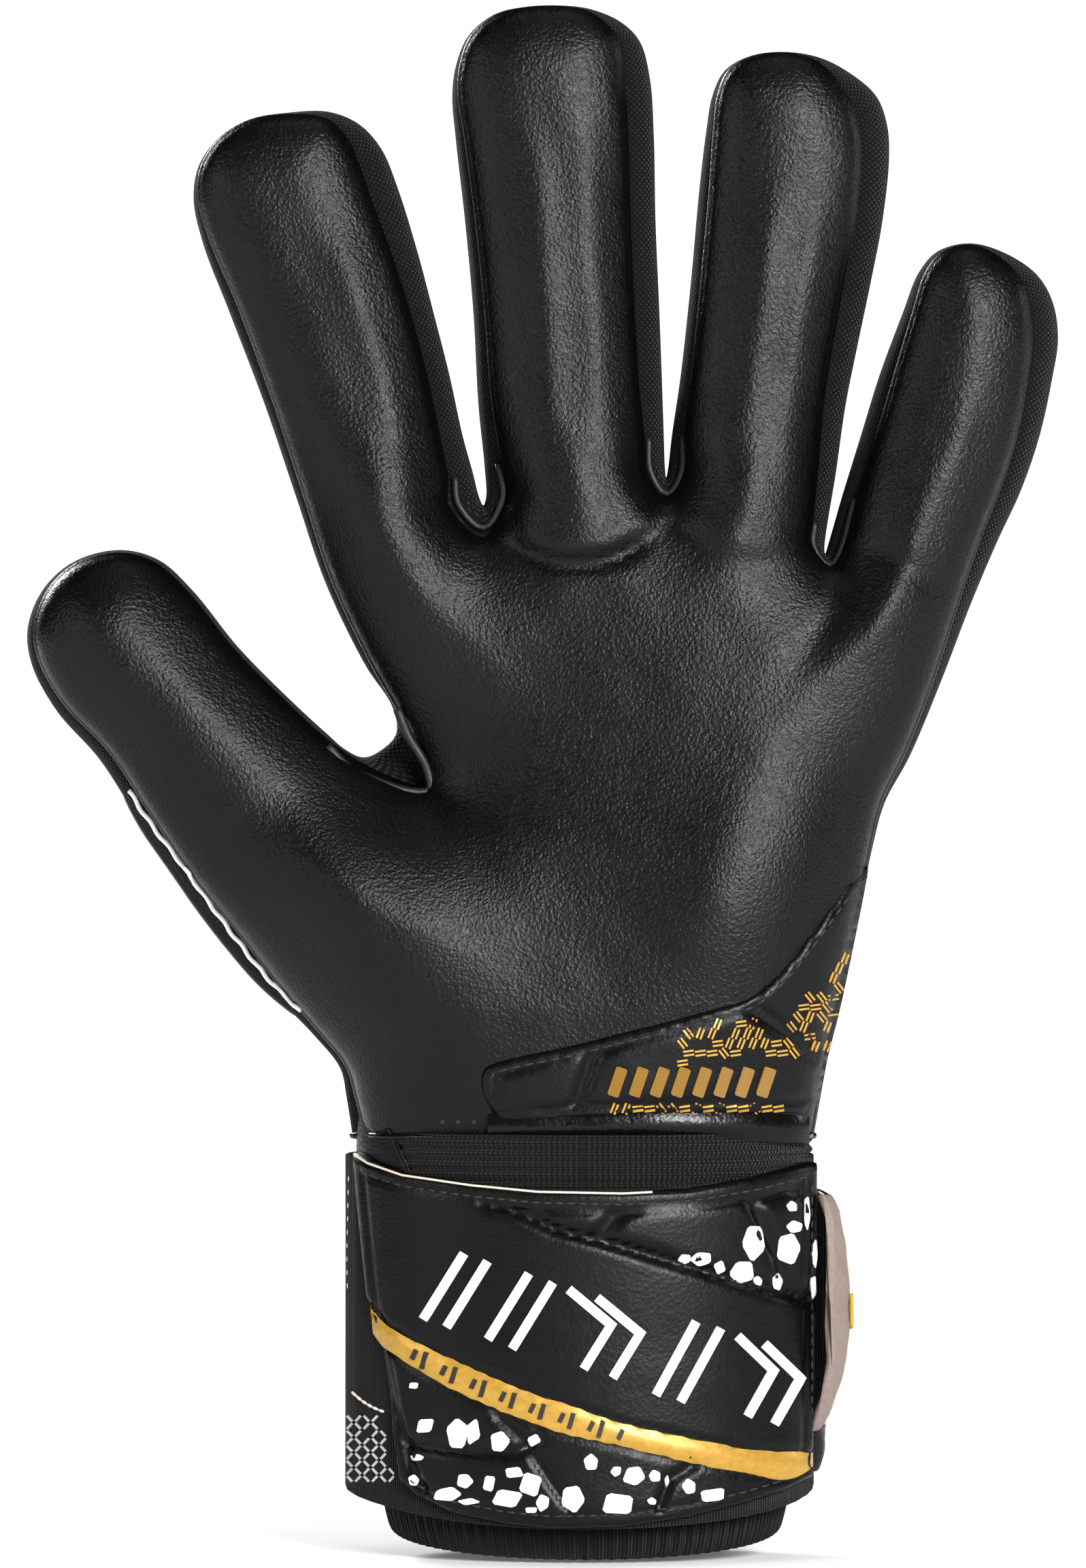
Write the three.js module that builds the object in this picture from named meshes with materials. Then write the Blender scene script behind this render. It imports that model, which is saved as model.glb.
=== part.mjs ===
// A left-hand goalkeeper glove, size 9, as it sits on a hand.
// Palm towards -Y, fingers towards +Z, thumb towards -X. Millimetres.
// The origin is the centre of the hand opening, on the plane of the cuff's rim.
//
// The glove is a shell of flat panels: a latex palm and a padded back, joined all round by a mesh gusset.
// Outlines are drawn in the plane of the palm as [x, z] points, and each panel is a slab between two
// depths.
import * as THREE from "three";
import { mergeVertices } from "three/addons/utils/BufferGeometryUtils.js";

// ---- Driving dimensions ----

const GAP = 0.3; // between neighbouring pieces
const WALL = 1.6; // thickness of the gusset fabric
const PALM_LAMINATE = 4.5; // latex, foam and backing
const BACK_LAMINATE = 3.5;
const LINING = 0.8;

// Depths of the palm body: both faces are planes that spread apart towards the heel of the hand.
const KNUCKLE_Z = 206;
const HEEL_Z = 77;
const FRONT_Y = { knuckle: -13, heel: -21.5 };
const BACK_Y = { knuckle: 12, heel: 19.5 };

// Each digit is a straight stall. root is the middle of its first hinge line, lean is degrees from +Z
// towards +X, and bend is the distance from the first hinge to the second. shell and pad are half-widths
// [at the root, at the tip] of the stall and of its latex, and front and back are its depths.
const DIGITS = {
  index: {
    root: [-39.1, 204], lean: -16.8, length: 59.5, bend: 26,
    shell: [16.2, 17.6], pad: [13.5, 14.8], padShift: -0.4, front: -12.5, back: 11.5,
  },
  middle: {
    root: [-2.6, 206], lean: -3.4, length: 73.7, bend: 33,
    shell: [16.3, 17.8], pad: [13.1, 14.2], padShift: -1.8, front: -12.5, back: 11.5,
  },
  ring: {
    root: [31.3, 206], lean: 8, length: 66, bend: 30,
    shell: [15.0, 16.5], pad: [12.2, 12.8], padShift: -1.4, front: -12.5, back: 11.5,
  },
  little: {
    root: [63.0, 196], lean: 14.5, length: 42.4, bend: 19,
    shell: [15.2, 15.0], pad: [11.4, 10.8], padShift: -1.0, front: -12.5, back: 11.5,
  },
  thumb: {
    root: [-61.4, 138.6], lean: -39.5, length: 51.5, bend: 24,
    shell: [17.4, 16.8], pad: [16.0, 15.2], padShift: 0.6, front: -16.5, back: 12.5,
  },
};
// The fingers hinge on level lines, the thumb square to itself.
const LEVEL_ROOTS = ["index", "middle", "ring", "little"];
const CAP = 0.95; // length of a rounded fingertip, as a share of its half-width
const CAP_POWER = 2.3; // 2 is an ellipse, more is squarer

// The V between two fingers: the centre and radius of its rounded bottom, in the shell and in the latex.
const CROTCHES = {
  index_middle: { shell: [-17.6, 191, 0.8], pad: [-17.8, 186.2, 2.6] },
  middle_ring: { shell: [14.4, 196.6, 0.6], pad: [13.9, 192.8, 2.8] },
  ring_little: { shell: [43.6, 183, 0.8], pad: [43.0, 181.2, 2.9] },
};

// Free edges of the palm body, as points that a smooth curve runs through.
const SHELL_THENAR = [[-41.5, HEEL_Z], [-44.2, 89.5], [-57.2, 103.7], [-67.0, 115.0]];
const PAD_THENAR = [[-38.8, 80.6], [-42.9, 90.0], [-51.0, 99.9], [-61.7, 113.3]];
const SHELL_ULNAR = [[72.5, 180.6], [61.6, 153], [54.2, 137], [49.8, 120], [45, 98], [41, HEEL_Z]];
const PAD_ULNAR = [[69.2, 182.1], [62, 159.8], [56.4, 142.9], [52.4, 134]];
const SHELL_WEB = [[-43.8, 146.2], [-38.5, 144.8], [-34.2, 149.3], [-38.5, 159.5], [-46.2, 175]];
const PAD_WEB = [
  [-42.2, 144.4], [-35.5, 141], [-27.8, 140.8], [-30.2, 149], [-36, 156], [-43.0, 170], [-45.4, 181],
];

// The embossed patch on the heel of the palm: its upper seam, from the thumb side to the little-finger
// side.
const PATCH_SEAM = [[-19.3, 89.6], [-12, 92.1], [17.1, 97], [31.1, 102.6], [40.3, 114.6], [49.4, 126]];
const PATCH_BOTTOM = [[40.9, 80.6], [-15.3, 80.6]];
const PATCH_PROUD = 0.8;
const BINDING_TOP = 80;
const BACK_PAD = [
  [-30, 104], [-6, 92], [28, 98], [46, 138], [58, 172], [36, 180], [4, 184], [-36, 180], [-33, 150],
  [-40, 128],
];
const BACK_PAD_THICKNESS = 2.6;

// The wrist is an ellipse: a is half its width, and its depth is always ROUNDNESS less than its width.
const ROUNDNESS = 16;
const CUFF = [[0, 30.5], [5, 33.8], [11, 37.2], [14, 38.8], [56, 38.8]]; // [z, a]
const CUFF_WALL = 2.2;
const ELASTIC = { a: 38.8, wall: 2, z: [56.3, 76.7] };
const SIDE_PANEL = { a: 39.3, wall: 0.8, z: [70.4, 76.7], from: -104, to: -58 };
const STRAP_Z = [12, 70];
const WEBBING = { a: 39.3, wall: 1.2, from: -205, to: 80 };
const FRONT_PANEL = { a: 41, wall: 2.3, from: -68, to: 80 };
const LOOP_PATCH = { a: 40.8, wall: 1.0, from: 158, to: 203 };
const HOOK_PATCH = { a: 42.2, wall: 1.0, from: 152, to: 200 };
const FLAP = { a: 43.6, wall: 2.2, from: 83, to: 201, z: [15, 67] };
const PULL_TAB = { a: 43.6, wall: 2.2, from: 202, to: 224, z: [26, 56] };

// ---- Outlines ----

const rad = THREE.MathUtils.degToRad;
const lerp = THREE.MathUtils.lerp;

function smooth(points, steps) {
  const curve = new THREE.SplineCurve(points.map(([x, z]) => new THREE.Vector2(x, z)));
  return curve.getPoints(steps).map((p) => [p.x, p.y]);
}

function frameOf(digit) {
  const a = rad(digit.lean);
  return { along: [Math.sin(a), Math.cos(a)], across: [Math.cos(a), -Math.sin(a)] };
}

// A point of a digit: s along it from the root, t across it.
function at(digit, s, t) {
  const { along, across } = frameOf(digit);
  return [0, 1].map((k) => digit.root[k] + along[k] * s + across[k] * t);
}

// One edge of a digit's outline from s0 towards the tip, side -1 or 1, ending at the tip's middle.
function edge(digit, layer, side, s0) {
  const [rootHalf, tipHalf] = digit[layer];
  const shift = layer === "pad" ? digit.padShift : 0;
  const length = digit.length - (layer === "pad" ? GAP : 0);
  const cap = CAP * tipHalf;
  const capStart = length - cap;
  const points = [at(digit, s0, shift + side * lerp(rootHalf, tipHalf, s0 / length))];
  if (s0 < capStart) points.push(at(digit, capStart, shift + side * tipHalf));
  const steps = 7;
  for (let i = 1; i <= steps; i++) {
    const u = Math.sin((i / steps) * (Math.PI / 2));
    const half = tipHalf * Math.pow(1 - Math.pow(u, CAP_POWER), 1 / CAP_POWER);
    points.push(at(digit, capStart + u * cap, shift + side * half));
  }
  return points;
}

// Where a digit's edge crosses its first hinge line, lift millimetres above the line.
function rootCorner(name, layer, side, lift = 0) {
  const digit = DIGITS[name];
  const t = (layer === "pad" ? digit.padShift : 0) + side * digit[layer][0];
  if (!LEVEL_ROOTS.includes(name)) return at(digit, lift, t);
  return at(digit, (lift + t * Math.sin(rad(digit.lean))) / Math.cos(rad(digit.lean)), t);
}

function crotch([x, z, r]) {
  return [180, 225, 270, 315, 360].map((d) => [x + r * Math.cos(rad(d)), z + r * Math.sin(rad(d))]);
}

// An open line offset to its left by d.
function offset(line, d) {
  return line.map((p, i) => {
    const before = line[Math.max(i - 1, 0)];
    const after = line[Math.min(i + 1, line.length - 1)];
    const inward = new THREE.Vector2(p[0] - before[0], p[1] - before[1]).normalize();
    const onward = new THREE.Vector2(after[0] - p[0], after[1] - p[1]).normalize();
    if (i === 0) inward.copy(onward);
    if (i === line.length - 1) onward.copy(inward);
    const normal = new THREE.Vector2(-(inward.y + onward.y), inward.x + onward.x).normalize();
    const mitre = Math.max(0.5, normal.dot(new THREE.Vector2(-inward.y, inward.x)));
    return [p[0] + (normal.x * d) / mitre, p[1] + (normal.y * d) / mitre];
  });
}

const strip = (line, d) => [...line, ...offset(line, d).reverse()];

// ---- Solids ----

// Moves every vertex of a three.js geometry, and keeps its faces outward if the move mirrors it.
function moved(geometry, place) {
  geometry.deleteAttribute("normal");
  geometry.deleteAttribute("uv");
  const position = geometry.getAttribute("position");
  for (let i = 0; i < position.count; i++) {
    position.setXYZ(i, ...place(position.getX(i), position.getY(i), position.getZ(i)));
  }
  const merged = mergeVertices(geometry, 1e-3);
  const corner = (k) => new THREE.Vector3().fromBufferAttribute(merged.getAttribute("position"), k);
  const index = Array.from(merged.getIndex().array);
  let volume = 0;
  for (let i = 0; i < index.length; i += 3) {
    volume += corner(index[i]).dot(corner(index[i + 1]).cross(corner(index[i + 2])));
  }
  if (volume < 0) merged.setIndex(index.reverse());
  return merged;
}

// A prism over a flat outline: place(u, v, end) gives the corner in space at end 0 or 1.
function prism(outline, place) {
  const shape = new THREE.Shape(outline.map(([u, v]) => new THREE.Vector2(u, v)));
  return moved(new THREE.ExtrudeGeometry(shape, { depth: 1, bevelEnabled: false }), place);
}

// A slab over an [x, z] outline, between two depths that are functions of z.
const slab = (outline, near, far) => prism(outline, (x, z, end) => [x, (end ? far : near)(z), z]);

function plane({ knuckle, heel }, inset) {
  return (z) => lerp(heel, knuckle, (z - HEEL_Z) / (KNUCKLE_Z - HEEL_Z)) + inset;
}

function onEllipse(a, degrees) {
  const phi = rad(degrees); // 0 is the palm side, 90 the little-finger side
  return [a * Math.sin(phi), -(a - ROUNDNESS) * Math.cos(phi)];
}

function arcBand({ a, wall, from, to }, [low, high]) {
  const steps = Math.max(3, Math.round((to - from) / 9));
  const angles = Array.from({ length: steps + 1 }, (_, i) => lerp(from, to, i / steps));
  const inside = angles.map((d) => onEllipse(a, d));
  const outside = angles.map((d) => onEllipse(a + wall, d)).reverse();
  const outline = [...inside, ...outside];
  return prism(outline, (x, y, end) => [x, y, end ? high : low]);
}

// A closed elliptical sleeve through [z, a] sections.
function sleeve(sections, wall) {
  const outside = sections.map(([z, a]) => new THREE.Vector2(a, z));
  const inside = sections.map(([z, a]) => new THREE.Vector2(a - wall, z)).reverse();
  const ring = new THREE.LatheGeometry([...outside, ...inside, outside[0]], 36);
  return moved(ring, (x, z, y) => {
    const a = Math.hypot(x, y);
    return [x, (y / a) * (ROUNDNESS - a), z];
  });
}

// ---- Materials ----

const finish = (color, roughness) => new THREE.MeshStandardMaterial({ color, roughness, metalness: 0 });
const LATEX = finish(0x1c1c1c, 0.45);
const MESH_FABRIC = finish(0x141414, 0.9);
const BACKHAND = finish(0x161616, 0.6);
const EMBOSSED = finish(0x1f1d1f, 0.4);
const KNIT = finish(0x101010, 0.95);
const LINER = finish(0x2a2a2c, 0.95);
const TAUPE = finish(0x8a7a72, 0.7);
const HOOKS = finish(0x0c0c0c, 0.8);

const glove = new THREE.Group();

function add(name, geometry, material) {
  const mesh = new THREE.Mesh(geometry, material);
  mesh.name = name;
  glove.add(mesh);
}

// ---- Palm body ----

const palmFront = plane(FRONT_Y, 0);
const palmInner = plane(FRONT_Y, PALM_LAMINATE);
const backOuter = plane(BACK_Y, 0);
const backInner = plane(BACK_Y, -BACK_LAMINATE);

// The top of the palm body, from the index finger to the little finger: a stub for each finger, with
// its V between.
function fingerStubs(layer) {
  return [
    rootCorner("index", layer, -1), rootCorner("index", layer, 1), ...crotch(CROTCHES.index_middle[layer]),
    rootCorner("middle", layer, -1), rootCorner("middle", layer, 1), ...crotch(CROTCHES.middle_ring[layer]),
    rootCorner("ring", layer, -1), rootCorner("ring", layer, 1), ...crotch(CROTCHES.ring_little[layer]),
    rootCorner("little", layer, -1), rootCorner("little", layer, 1),
  ];
}

const shellThenar = smooth([...SHELL_THENAR, rootCorner("thumb", "shell", -1)], 10);
const webEnds = [rootCorner("thumb", "shell", 1), rootCorner("index", "shell", -1)];
const shellWeb = smooth([webEnds[0], ...SHELL_WEB, webEnds[1]], 14);
const shellUlnar = smooth([rootCorner("little", "shell", 1), ...SHELL_ULNAR], 14);
const shellOutline = [...shellThenar, ...shellWeb, ...fingerStubs("shell").slice(1, -1), ...shellUlnar];

const patchSeam = smooth(PATCH_SEAM, 14);
const padOutline = [
  ...smooth([...PAD_THENAR, rootCorner("thumb", "pad", -1)], 9),
  ...smooth([rootCorner("thumb", "pad", 1), ...PAD_WEB, rootCorner("index", "pad", -1)], 16),
  ...fingerStubs("pad").slice(1, -1),
  ...smooth([rootCorner("little", "pad", 1), ...PAD_ULNAR], 10),
  ...offset([PATCH_BOTTOM[1], ...patchSeam], 0.5).reverse(),
];

add("palm_latex", slab(padOutline, palmFront, palmInner), LATEX);
const patchFace = plane(FRONT_Y, -PATCH_PROUD);
add("palm_heel_patch", slab([...patchSeam, ...PATCH_BOTTOM], patchFace, palmInner), EMBOSSED);
const bindingOutline = [[-38.6, HEEL_Z], [-38.6, BINDING_TOP], [40.6, BINDING_TOP], [40.6, HEEL_Z]];
add("palm_heel_binding", slab(bindingOutline, plane(FRONT_Y, -0.5), palmInner), EMBOSSED);

const LINING_INSET = 3.4;
const liningOutline = [
  ...offset(smooth([...SHELL_THENAR, rootCorner("thumb", "shell", -1)], 6), -LINING_INSET),
  ...offset(smooth([rootCorner("thumb", "shell", 1), ...SHELL_WEB, [-52, 190]], 8), -LINING_INSET),
  [-46, 196], [-24, 186], [-17.6, 182], [8, 184], [14.4, 188], [22, 184], [43.6, 176], [52, 178], [70, 186],
  ...offset(smooth([[78, 192], ...SHELL_ULNAR], 10), -LINING_INSET).slice(1),
];
const behindLatex = plane(FRONT_Y, PALM_LAMINATE + GAP);
add("palm_lining", slab(liningOutline, behindLatex, plane(FRONT_Y, PALM_LAMINATE + GAP + LINING)), LINER);

add("backhand_panel", slab(shellOutline, backInner, backOuter), BACKHAND);
const backPadOutline = smooth([...BACK_PAD, BACK_PAD[0]], 40).slice(0, -1);
const backPadFace = plane(BACK_Y, GAP + BACK_PAD_THICKNESS);
add("backhand_pad", slab(backPadOutline, plane(BACK_Y, GAP), backPadFace), EMBOSSED);
const beforeBack = plane(BACK_Y, -BACK_LAMINATE - GAP);
const backLiningFace = plane(BACK_Y, -BACK_LAMINATE - GAP - LINING);
add("backhand_lining", slab(liningOutline, backLiningFace, beforeBack), LINER);

// ---- Gussets of the palm body ----

const gusset = (name, line) => add(name, slab(strip(line, -WALL), behindLatex, beforeBack), MESH_FABRIC);

gusset("gusset_thumb_outer", shellThenar);
gusset("gusset_thumb_web", shellWeb);
gusset("gusset_little_outer", [rootCorner("little", "shell", 1, -0.8), ...shellUlnar.slice(1)]);
for (const [name, { shell }] of Object.entries(CROTCHES)) {
  const [left, right] = name.split("_");
  const outer = [rootCorner(left, "shell", 1), ...crotch(shell), rootCorner(right, "shell", -1)];
  gusset("fourchette_" + name, outer);
}

// ---- Digits ----

for (const [name, digit] of Object.entries(DIGITS)) {
  const frontFar = digit.front + PALM_LAMINATE - 0.5;
  const backNear = digit.back - BACK_LAMINATE + 0.5;
  const layers = {
    palm: { outline: "pad", near: digit.front, far: frontFar, material: LATEX },
    back: { outline: "shell", near: backNear, far: digit.back, material: BACKHAND },
  };
  const halfAt = (layer, s) => lerp(...digit[layer], s / digit.length);
  const { bend } = digit;

  for (const [part, { outline, near, far, material }] of Object.entries(layers)) {
    const shift = outline === "pad" ? digit.padShift : 0;
    const top = [1, -1].map((side) => at(digit, bend - GAP, shift + side * halfAt(outline, bend)));
    const bottom = [-1, 1].map((side) => rootCorner(name, outline, side, GAP));
    add(`${name}_${part}_proximal`, slab([...bottom, ...top], () => near, () => far), material);

    const left = edge(digit, outline, -1, bend + GAP);
    const right = edge(digit, outline, 1, bend + GAP).slice(0, -1).reverse();
    add(`${name}_${part}_distal`, slab([...left, ...right], () => near, () => far), material);
  }

  const wall = (line, side) => slab(strip(line, side * WALL), () => frontFar + GAP, () => backNear - GAP);
  for (const [side, label] of [[-1, "thumb_side"], [1, "little_side"]]) {
    const upper = at(digit, bend - GAP, side * halfAt("shell", bend));
    const line = [rootCorner(name, "shell", side, GAP), upper];
    add(`${name}_gusset_${label}`, wall(line, side), MESH_FABRIC);
  }
  const thumbSide = edge(digit, "shell", -1, bend + GAP);
  const littleSide = edge(digit, "shell", 1, bend + GAP);
  const around = [...thumbSide, ...littleSide.slice(0, -1).reverse()];
  add(`${name}_gusset_tip`, wall(around, -1), MESH_FABRIC);
}

// ---- Wrist and strap ----

add("wrist_cuff", sleeve(CUFF, CUFF_WALL), KNIT);
add("wrist_elastic", sleeve(ELASTIC.z.map((z) => [z, ELASTIC.a]), ELASTIC.wall), KNIT);
add("wrist_side_panel", arcBand(SIDE_PANEL, SIDE_PANEL.z), EMBOSSED);
add("strap_webbing", arcBand(WEBBING, STRAP_Z), KNIT);
add("strap_front_panel", arcBand(FRONT_PANEL, STRAP_Z), EMBOSSED);
add("strap_loop_patch", arcBand(LOOP_PATCH, [16, 66]), KNIT);
add("strap_hook_patch", arcBand(HOOK_PATCH, [18, 64]), HOOKS);
add("strap_flap", arcBand(FLAP, FLAP.z), TAUPE);
add("strap_pull_tab", arcBand(PULL_TAB, PULL_TAB.z), TAUPE);

export default glove;
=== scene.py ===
import math
import random

import bpy
import numpy as np
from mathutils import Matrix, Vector, geometry
from mathutils.bvhtree import BVHTree


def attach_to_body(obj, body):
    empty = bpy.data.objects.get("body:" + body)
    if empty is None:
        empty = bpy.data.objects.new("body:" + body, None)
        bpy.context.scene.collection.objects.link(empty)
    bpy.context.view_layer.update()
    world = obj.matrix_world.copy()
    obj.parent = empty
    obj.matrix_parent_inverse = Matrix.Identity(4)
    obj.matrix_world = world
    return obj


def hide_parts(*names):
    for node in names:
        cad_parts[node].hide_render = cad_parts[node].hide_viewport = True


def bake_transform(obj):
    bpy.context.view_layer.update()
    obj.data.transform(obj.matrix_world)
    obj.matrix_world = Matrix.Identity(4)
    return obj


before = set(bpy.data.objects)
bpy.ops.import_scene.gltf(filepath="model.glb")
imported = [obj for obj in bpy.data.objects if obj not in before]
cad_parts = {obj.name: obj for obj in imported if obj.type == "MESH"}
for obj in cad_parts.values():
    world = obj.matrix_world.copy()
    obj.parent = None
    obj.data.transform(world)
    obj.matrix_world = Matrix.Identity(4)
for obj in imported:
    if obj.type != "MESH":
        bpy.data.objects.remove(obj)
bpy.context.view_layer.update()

MM = 0.001
rng = random.Random(7)

# ---- Camera ----

VIEW_CENTRE = (-7.6, 140.0)  # x, z of the middle of the picture, mm
VIEW_HEIGHT = 281.2  # mm of the object's plane that the picture's height takes in
DISTANCE = 1600.0

camera_data = bpy.data.cameras.new("camera")
camera_data.sensor_fit = "VERTICAL"
camera_data.sensor_height = 24.0
camera_data.lens = camera_data.sensor_height * DISTANCE / VIEW_HEIGHT
camera_data.clip_start = 0.05
camera_data.clip_end = 50.0
camera = bpy.data.objects.new("camera", camera_data)
camera.location = (VIEW_CENTRE[0] * MM, -DISTANCE * MM, VIEW_CENTRE[1] * MM)
camera.rotation_euler = (math.pi / 2, 0, 0)
bpy.context.scene.collection.objects.link(camera)
bpy.context.scene.camera = camera

# ---- Digits: the stalls' axes ----

# Root of the first hinge line, lean in degrees from +Z towards +X, distance to the second hinge, and where along z (or
# along the thumb) the pieces are divided and bend.
DIGIT_KEYS = ("root", "lean", "bend", "cut", "knuckle", "split", "fold")
DIGIT_ROWS = {
    "index": ((-39.1, 204.0), -16.8, 26.0, 197.5, (199.0, 213.0), 14.5, (18.5, 34.0)),
    "middle": ((-2.6, 206.0), -3.4, 33.0, 199.5, (200.8, 215.0), 20.0, (25.0, 41.0)),
    "ring": ((31.3, 206.0), 8.0, 30.0, 199.5, (200.8, 215.0), 18.5, (22.5, 38.0)),
    "little": ((63.0, 196.0), 14.5, 19.0, 187.5, (188.8, 201.5), 11.0, (13.0, 26.0)),
    "thumb": ((-61.4, 138.6), -39.5, 24.0, -4.5, (-3.0, 9.5), 12.0, (16.0, 32.0)),
}
DIGITS = {name: dict(zip(DIGIT_KEYS, row)) for name, row in DIGIT_ROWS.items()}
NAMES = list(DIGITS)
PER_DEGREE = 0.7  # mm round the wrist for each degree, for the textures of straps
KNIT_PER_DEGREE = 0.6


def axes(name):
    a = math.radians(DIGITS[name]["lean"])
    return np.array([math.sin(a), math.cos(a)]), np.array([math.cos(a), -math.sin(a)])


def along(name, x, z):
    """Distance along a digit from its root, and across it."""
    d, c = axes(name)
    rx, rz = DIGITS[name]["root"]
    return (x - rx) * d[0] + (z - rz) * d[1], (x - rx) * c[0] + (z - rz) * c[1]


def region_of(x, z):
    """0 is the hand; 1 + 2k and 2 + 2k are the lower and upper piece of digit k."""
    region = np.zeros(len(x), int)
    between = [-18.2 - (z - 190) * 0.19, 14.5 + (z - 195) * 0.04, 43.2 + (z - 182) * 0.26]
    finger = (x > between[0]).astype(int) + (x > between[1]) + (x > between[2])
    for k, name in enumerate(NAMES):
        s, t = along(name, x, z)
        if name == "thumb":
            inside = (s > DIGITS[name]["cut"]) & (t < 24)
        else:
            inside = (finger == k) & (z > DIGITS[name]["cut"])
        region[inside] = 1 + 2 * k
        region[inside & (s > DIGITS[name]["split"])] = 2 + 2 * k
    return region


REGIONS = ["hand"] + [f"{name}_{part}" for name in NAMES for part in ("knuckle", "bend")]

# ---- Outlines ----

# The silhouette of the glove seen from the palm, from the wrist round the thumb and fingers and back. Each row is x, z,
# and how far inside it the latex ends. A row of five goes on with the x and z of that latex edge, where it folds away.
SILHOUETTE = [
    (-41.8, 77, 2.6), (-42.9, 84, 2), (-44, 89, 1.6), (-48.8, 95, 1.6), (-55.6, 102, 2.2),
    (-64.2, 112, 2.8), (-71.6, 121, 3), (-79.8, 133, 3), (-87.2, 144.5, 2.8), (-94.8, 153.1, 2.4),
    (-99.3, 161.5, 2.2), (-100, 168, 2), (-97.1, 175.1, 1.6), (-91.5, 180, 1.2), (-83.4, 182, 1.1),
    (-76.5, 180.2, 1.1), (-70.4, 174.7, 1), (-62.2, 164.5, 1), (-52.6, 154.8, 1), (-46.2, 148.9, 1),
    (-43.2, 146.3, 0, -42, 144.6), (-40, 144.8, 0, -34.8, 140.9), (-37.4, 145.6, 0, -28.9, 139.4),
    (-34, 148.9, 0, -28.4, 143), (-34.6, 153.7, 0, -32.2, 151.2), (-39.6, 161.5, 1.4),
    (-46.6, 176, 1.6), (-51.9, 191.5, 1.8), (-57.5, 208, 2), (-63.8, 224.5, 2.2), (-68.6, 237, 1.8),
    (-70.3, 245, 1.4), (-69.3, 251, 1.2), (-65.6, 256, 1.1), (-60.2, 259.2, 1.1), (-53.5, 260.4, 1.2),
    (-46, 260.6, 2.2), (-40.6, 258.4, 4), (-36.6, 254, 5.2), (-33.6, 246.8, 5.5), (-30.1, 235.5, 4.9),
    (-27.2, 224.5, 4.4), (-24.4, 213.5, 4.3), (-22, 202.5, 4.4), (-20.1, 195.6, 4.9), (-19.1, 191.6, 6),
    (-18.3, 190, 6.4), (-17.8, 191.6, 4.6), (-18.1, 197, 3.6), (-19.2, 208, 2.8), (-20.1, 224.5, 2.4),
    (-21.6, 241, 2.2), (-23.3, 256, 1.9), (-23.9, 263.5, 1.4), (-23.2, 269, 1.2), (-21, 274.2, 1.1),
    (-16.4, 278, 1.1), (-10.6, 279.4, 1.1), (-4, 279.6, 1.1), (0.9, 279, 1.5), (6.4, 276.7, 3),
    (9.8, 273.2, 4.2), (11.6, 266.5, 5), (12.3, 256, 5), (12.6, 241, 4.9), (13.3, 224.5, 4.9),
    (13.8, 211, 4.6), (14.1, 202, 4), (14.3, 196.4, 4), (14.5, 195, 4.6), (14.8, 196.4, 3.6),
    (15.5, 202.5, 2.6), (17.1, 213.5, 2.2), (18.9, 230, 2), (20.4, 246.4, 2), (21.7, 257.4, 1.5),
    (22.8, 263.6, 1.2), (25, 268, 1.1), (29.6, 270.6, 1.1), (36, 271.3, 1.1), (42, 270.3, 1.8),
    (47.4, 267.6, 3.8), (52.2, 263.4, 5.6), (54.1, 258.4, 5.8), (54.5, 252.5, 5.6), (53.3, 241, 5.4),
    (51.2, 230, 5.2), (48.9, 219, 4.9), (46.7, 208, 4.5), (44.9, 195.5, 3.8), (43.4, 186.5, 3.2),
    (42.9, 182.6, 3), (43, 181.3, 3.2), (43.5, 182.8, 3.2), (46, 191.5, 3), (49.4, 202.5, 2.8),
    (52.8, 213.5, 2.6), (56.9, 224.5, 1.8), (59.8, 231.8, 1.3), (63.2, 235.6, 1.1), (69, 237, 1.1),
    (75.4, 235.2, 2.2), (81, 231.4, 4), (83.8, 226.6, 5.2), (84.8, 220, 5.4), (83.6, 212, 5),
    (81.5, 202.5, 4.6), (78.2, 192.8, 4.2), (73.9, 183.5, 3.6), (69.2, 172.4, 2.8), (63.9, 158.6, 2),
    (58.2, 145, 1.6), (53.7, 136.6, 1.2), (51.6, 129, 1), (49.8, 120.2, 0.8), (47.6, 109.2, 0.8),
    (45, 98.2, 0.8), (42.8, 87.2, 0.8), (41, 77, 0.8),
]


def spline(points, counts):
    """A centripetal curve through points, with counts[i] steps from point i to the next."""
    p = np.asarray(points, float)
    p = np.vstack([2 * p[0] - p[1], p, 2 * p[-1] - p[-2]])
    out = []
    for i, count in enumerate(counts):
        p0, p1, p2, p3 = p[i : i + 4]
        t0 = 0.0
        t1 = t0 + max(np.linalg.norm(p1 - p0), 1e-6) ** 0.5
        t2 = t1 + max(np.linalg.norm(p2 - p1), 1e-6) ** 0.5
        t3 = t2 + max(np.linalg.norm(p3 - p2), 1e-6) ** 0.5
        for j in range(count):
            t = t1 + (t2 - t1) * j / count
            a1 = (t1 - t) / (t1 - t0) * p0 + (t - t0) / (t1 - t0) * p1
            a2 = (t2 - t) / (t2 - t1) * p1 + (t - t1) / (t2 - t1) * p2
            a3 = (t3 - t) / (t3 - t2) * p2 + (t - t2) / (t3 - t2) * p3
            b1 = (t2 - t) / (t2 - t0) * a1 + (t - t0) / (t2 - t0) * a2
            b2 = (t3 - t) / (t3 - t1) * a2 + (t - t1) / (t3 - t1) * a3
            out.append((t2 - t) / (t2 - t1) * b1 + (t - t1) / (t2 - t1) * b2)
    out.append(p[-2])
    return np.array(out)


def curve(points, step=1.0):
    p = np.asarray(points, float)
    counts = [max(2, int(round(np.linalg.norm(b - a) / step))) for a, b in zip(p, p[1:])]
    return spline(p, counts)


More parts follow.
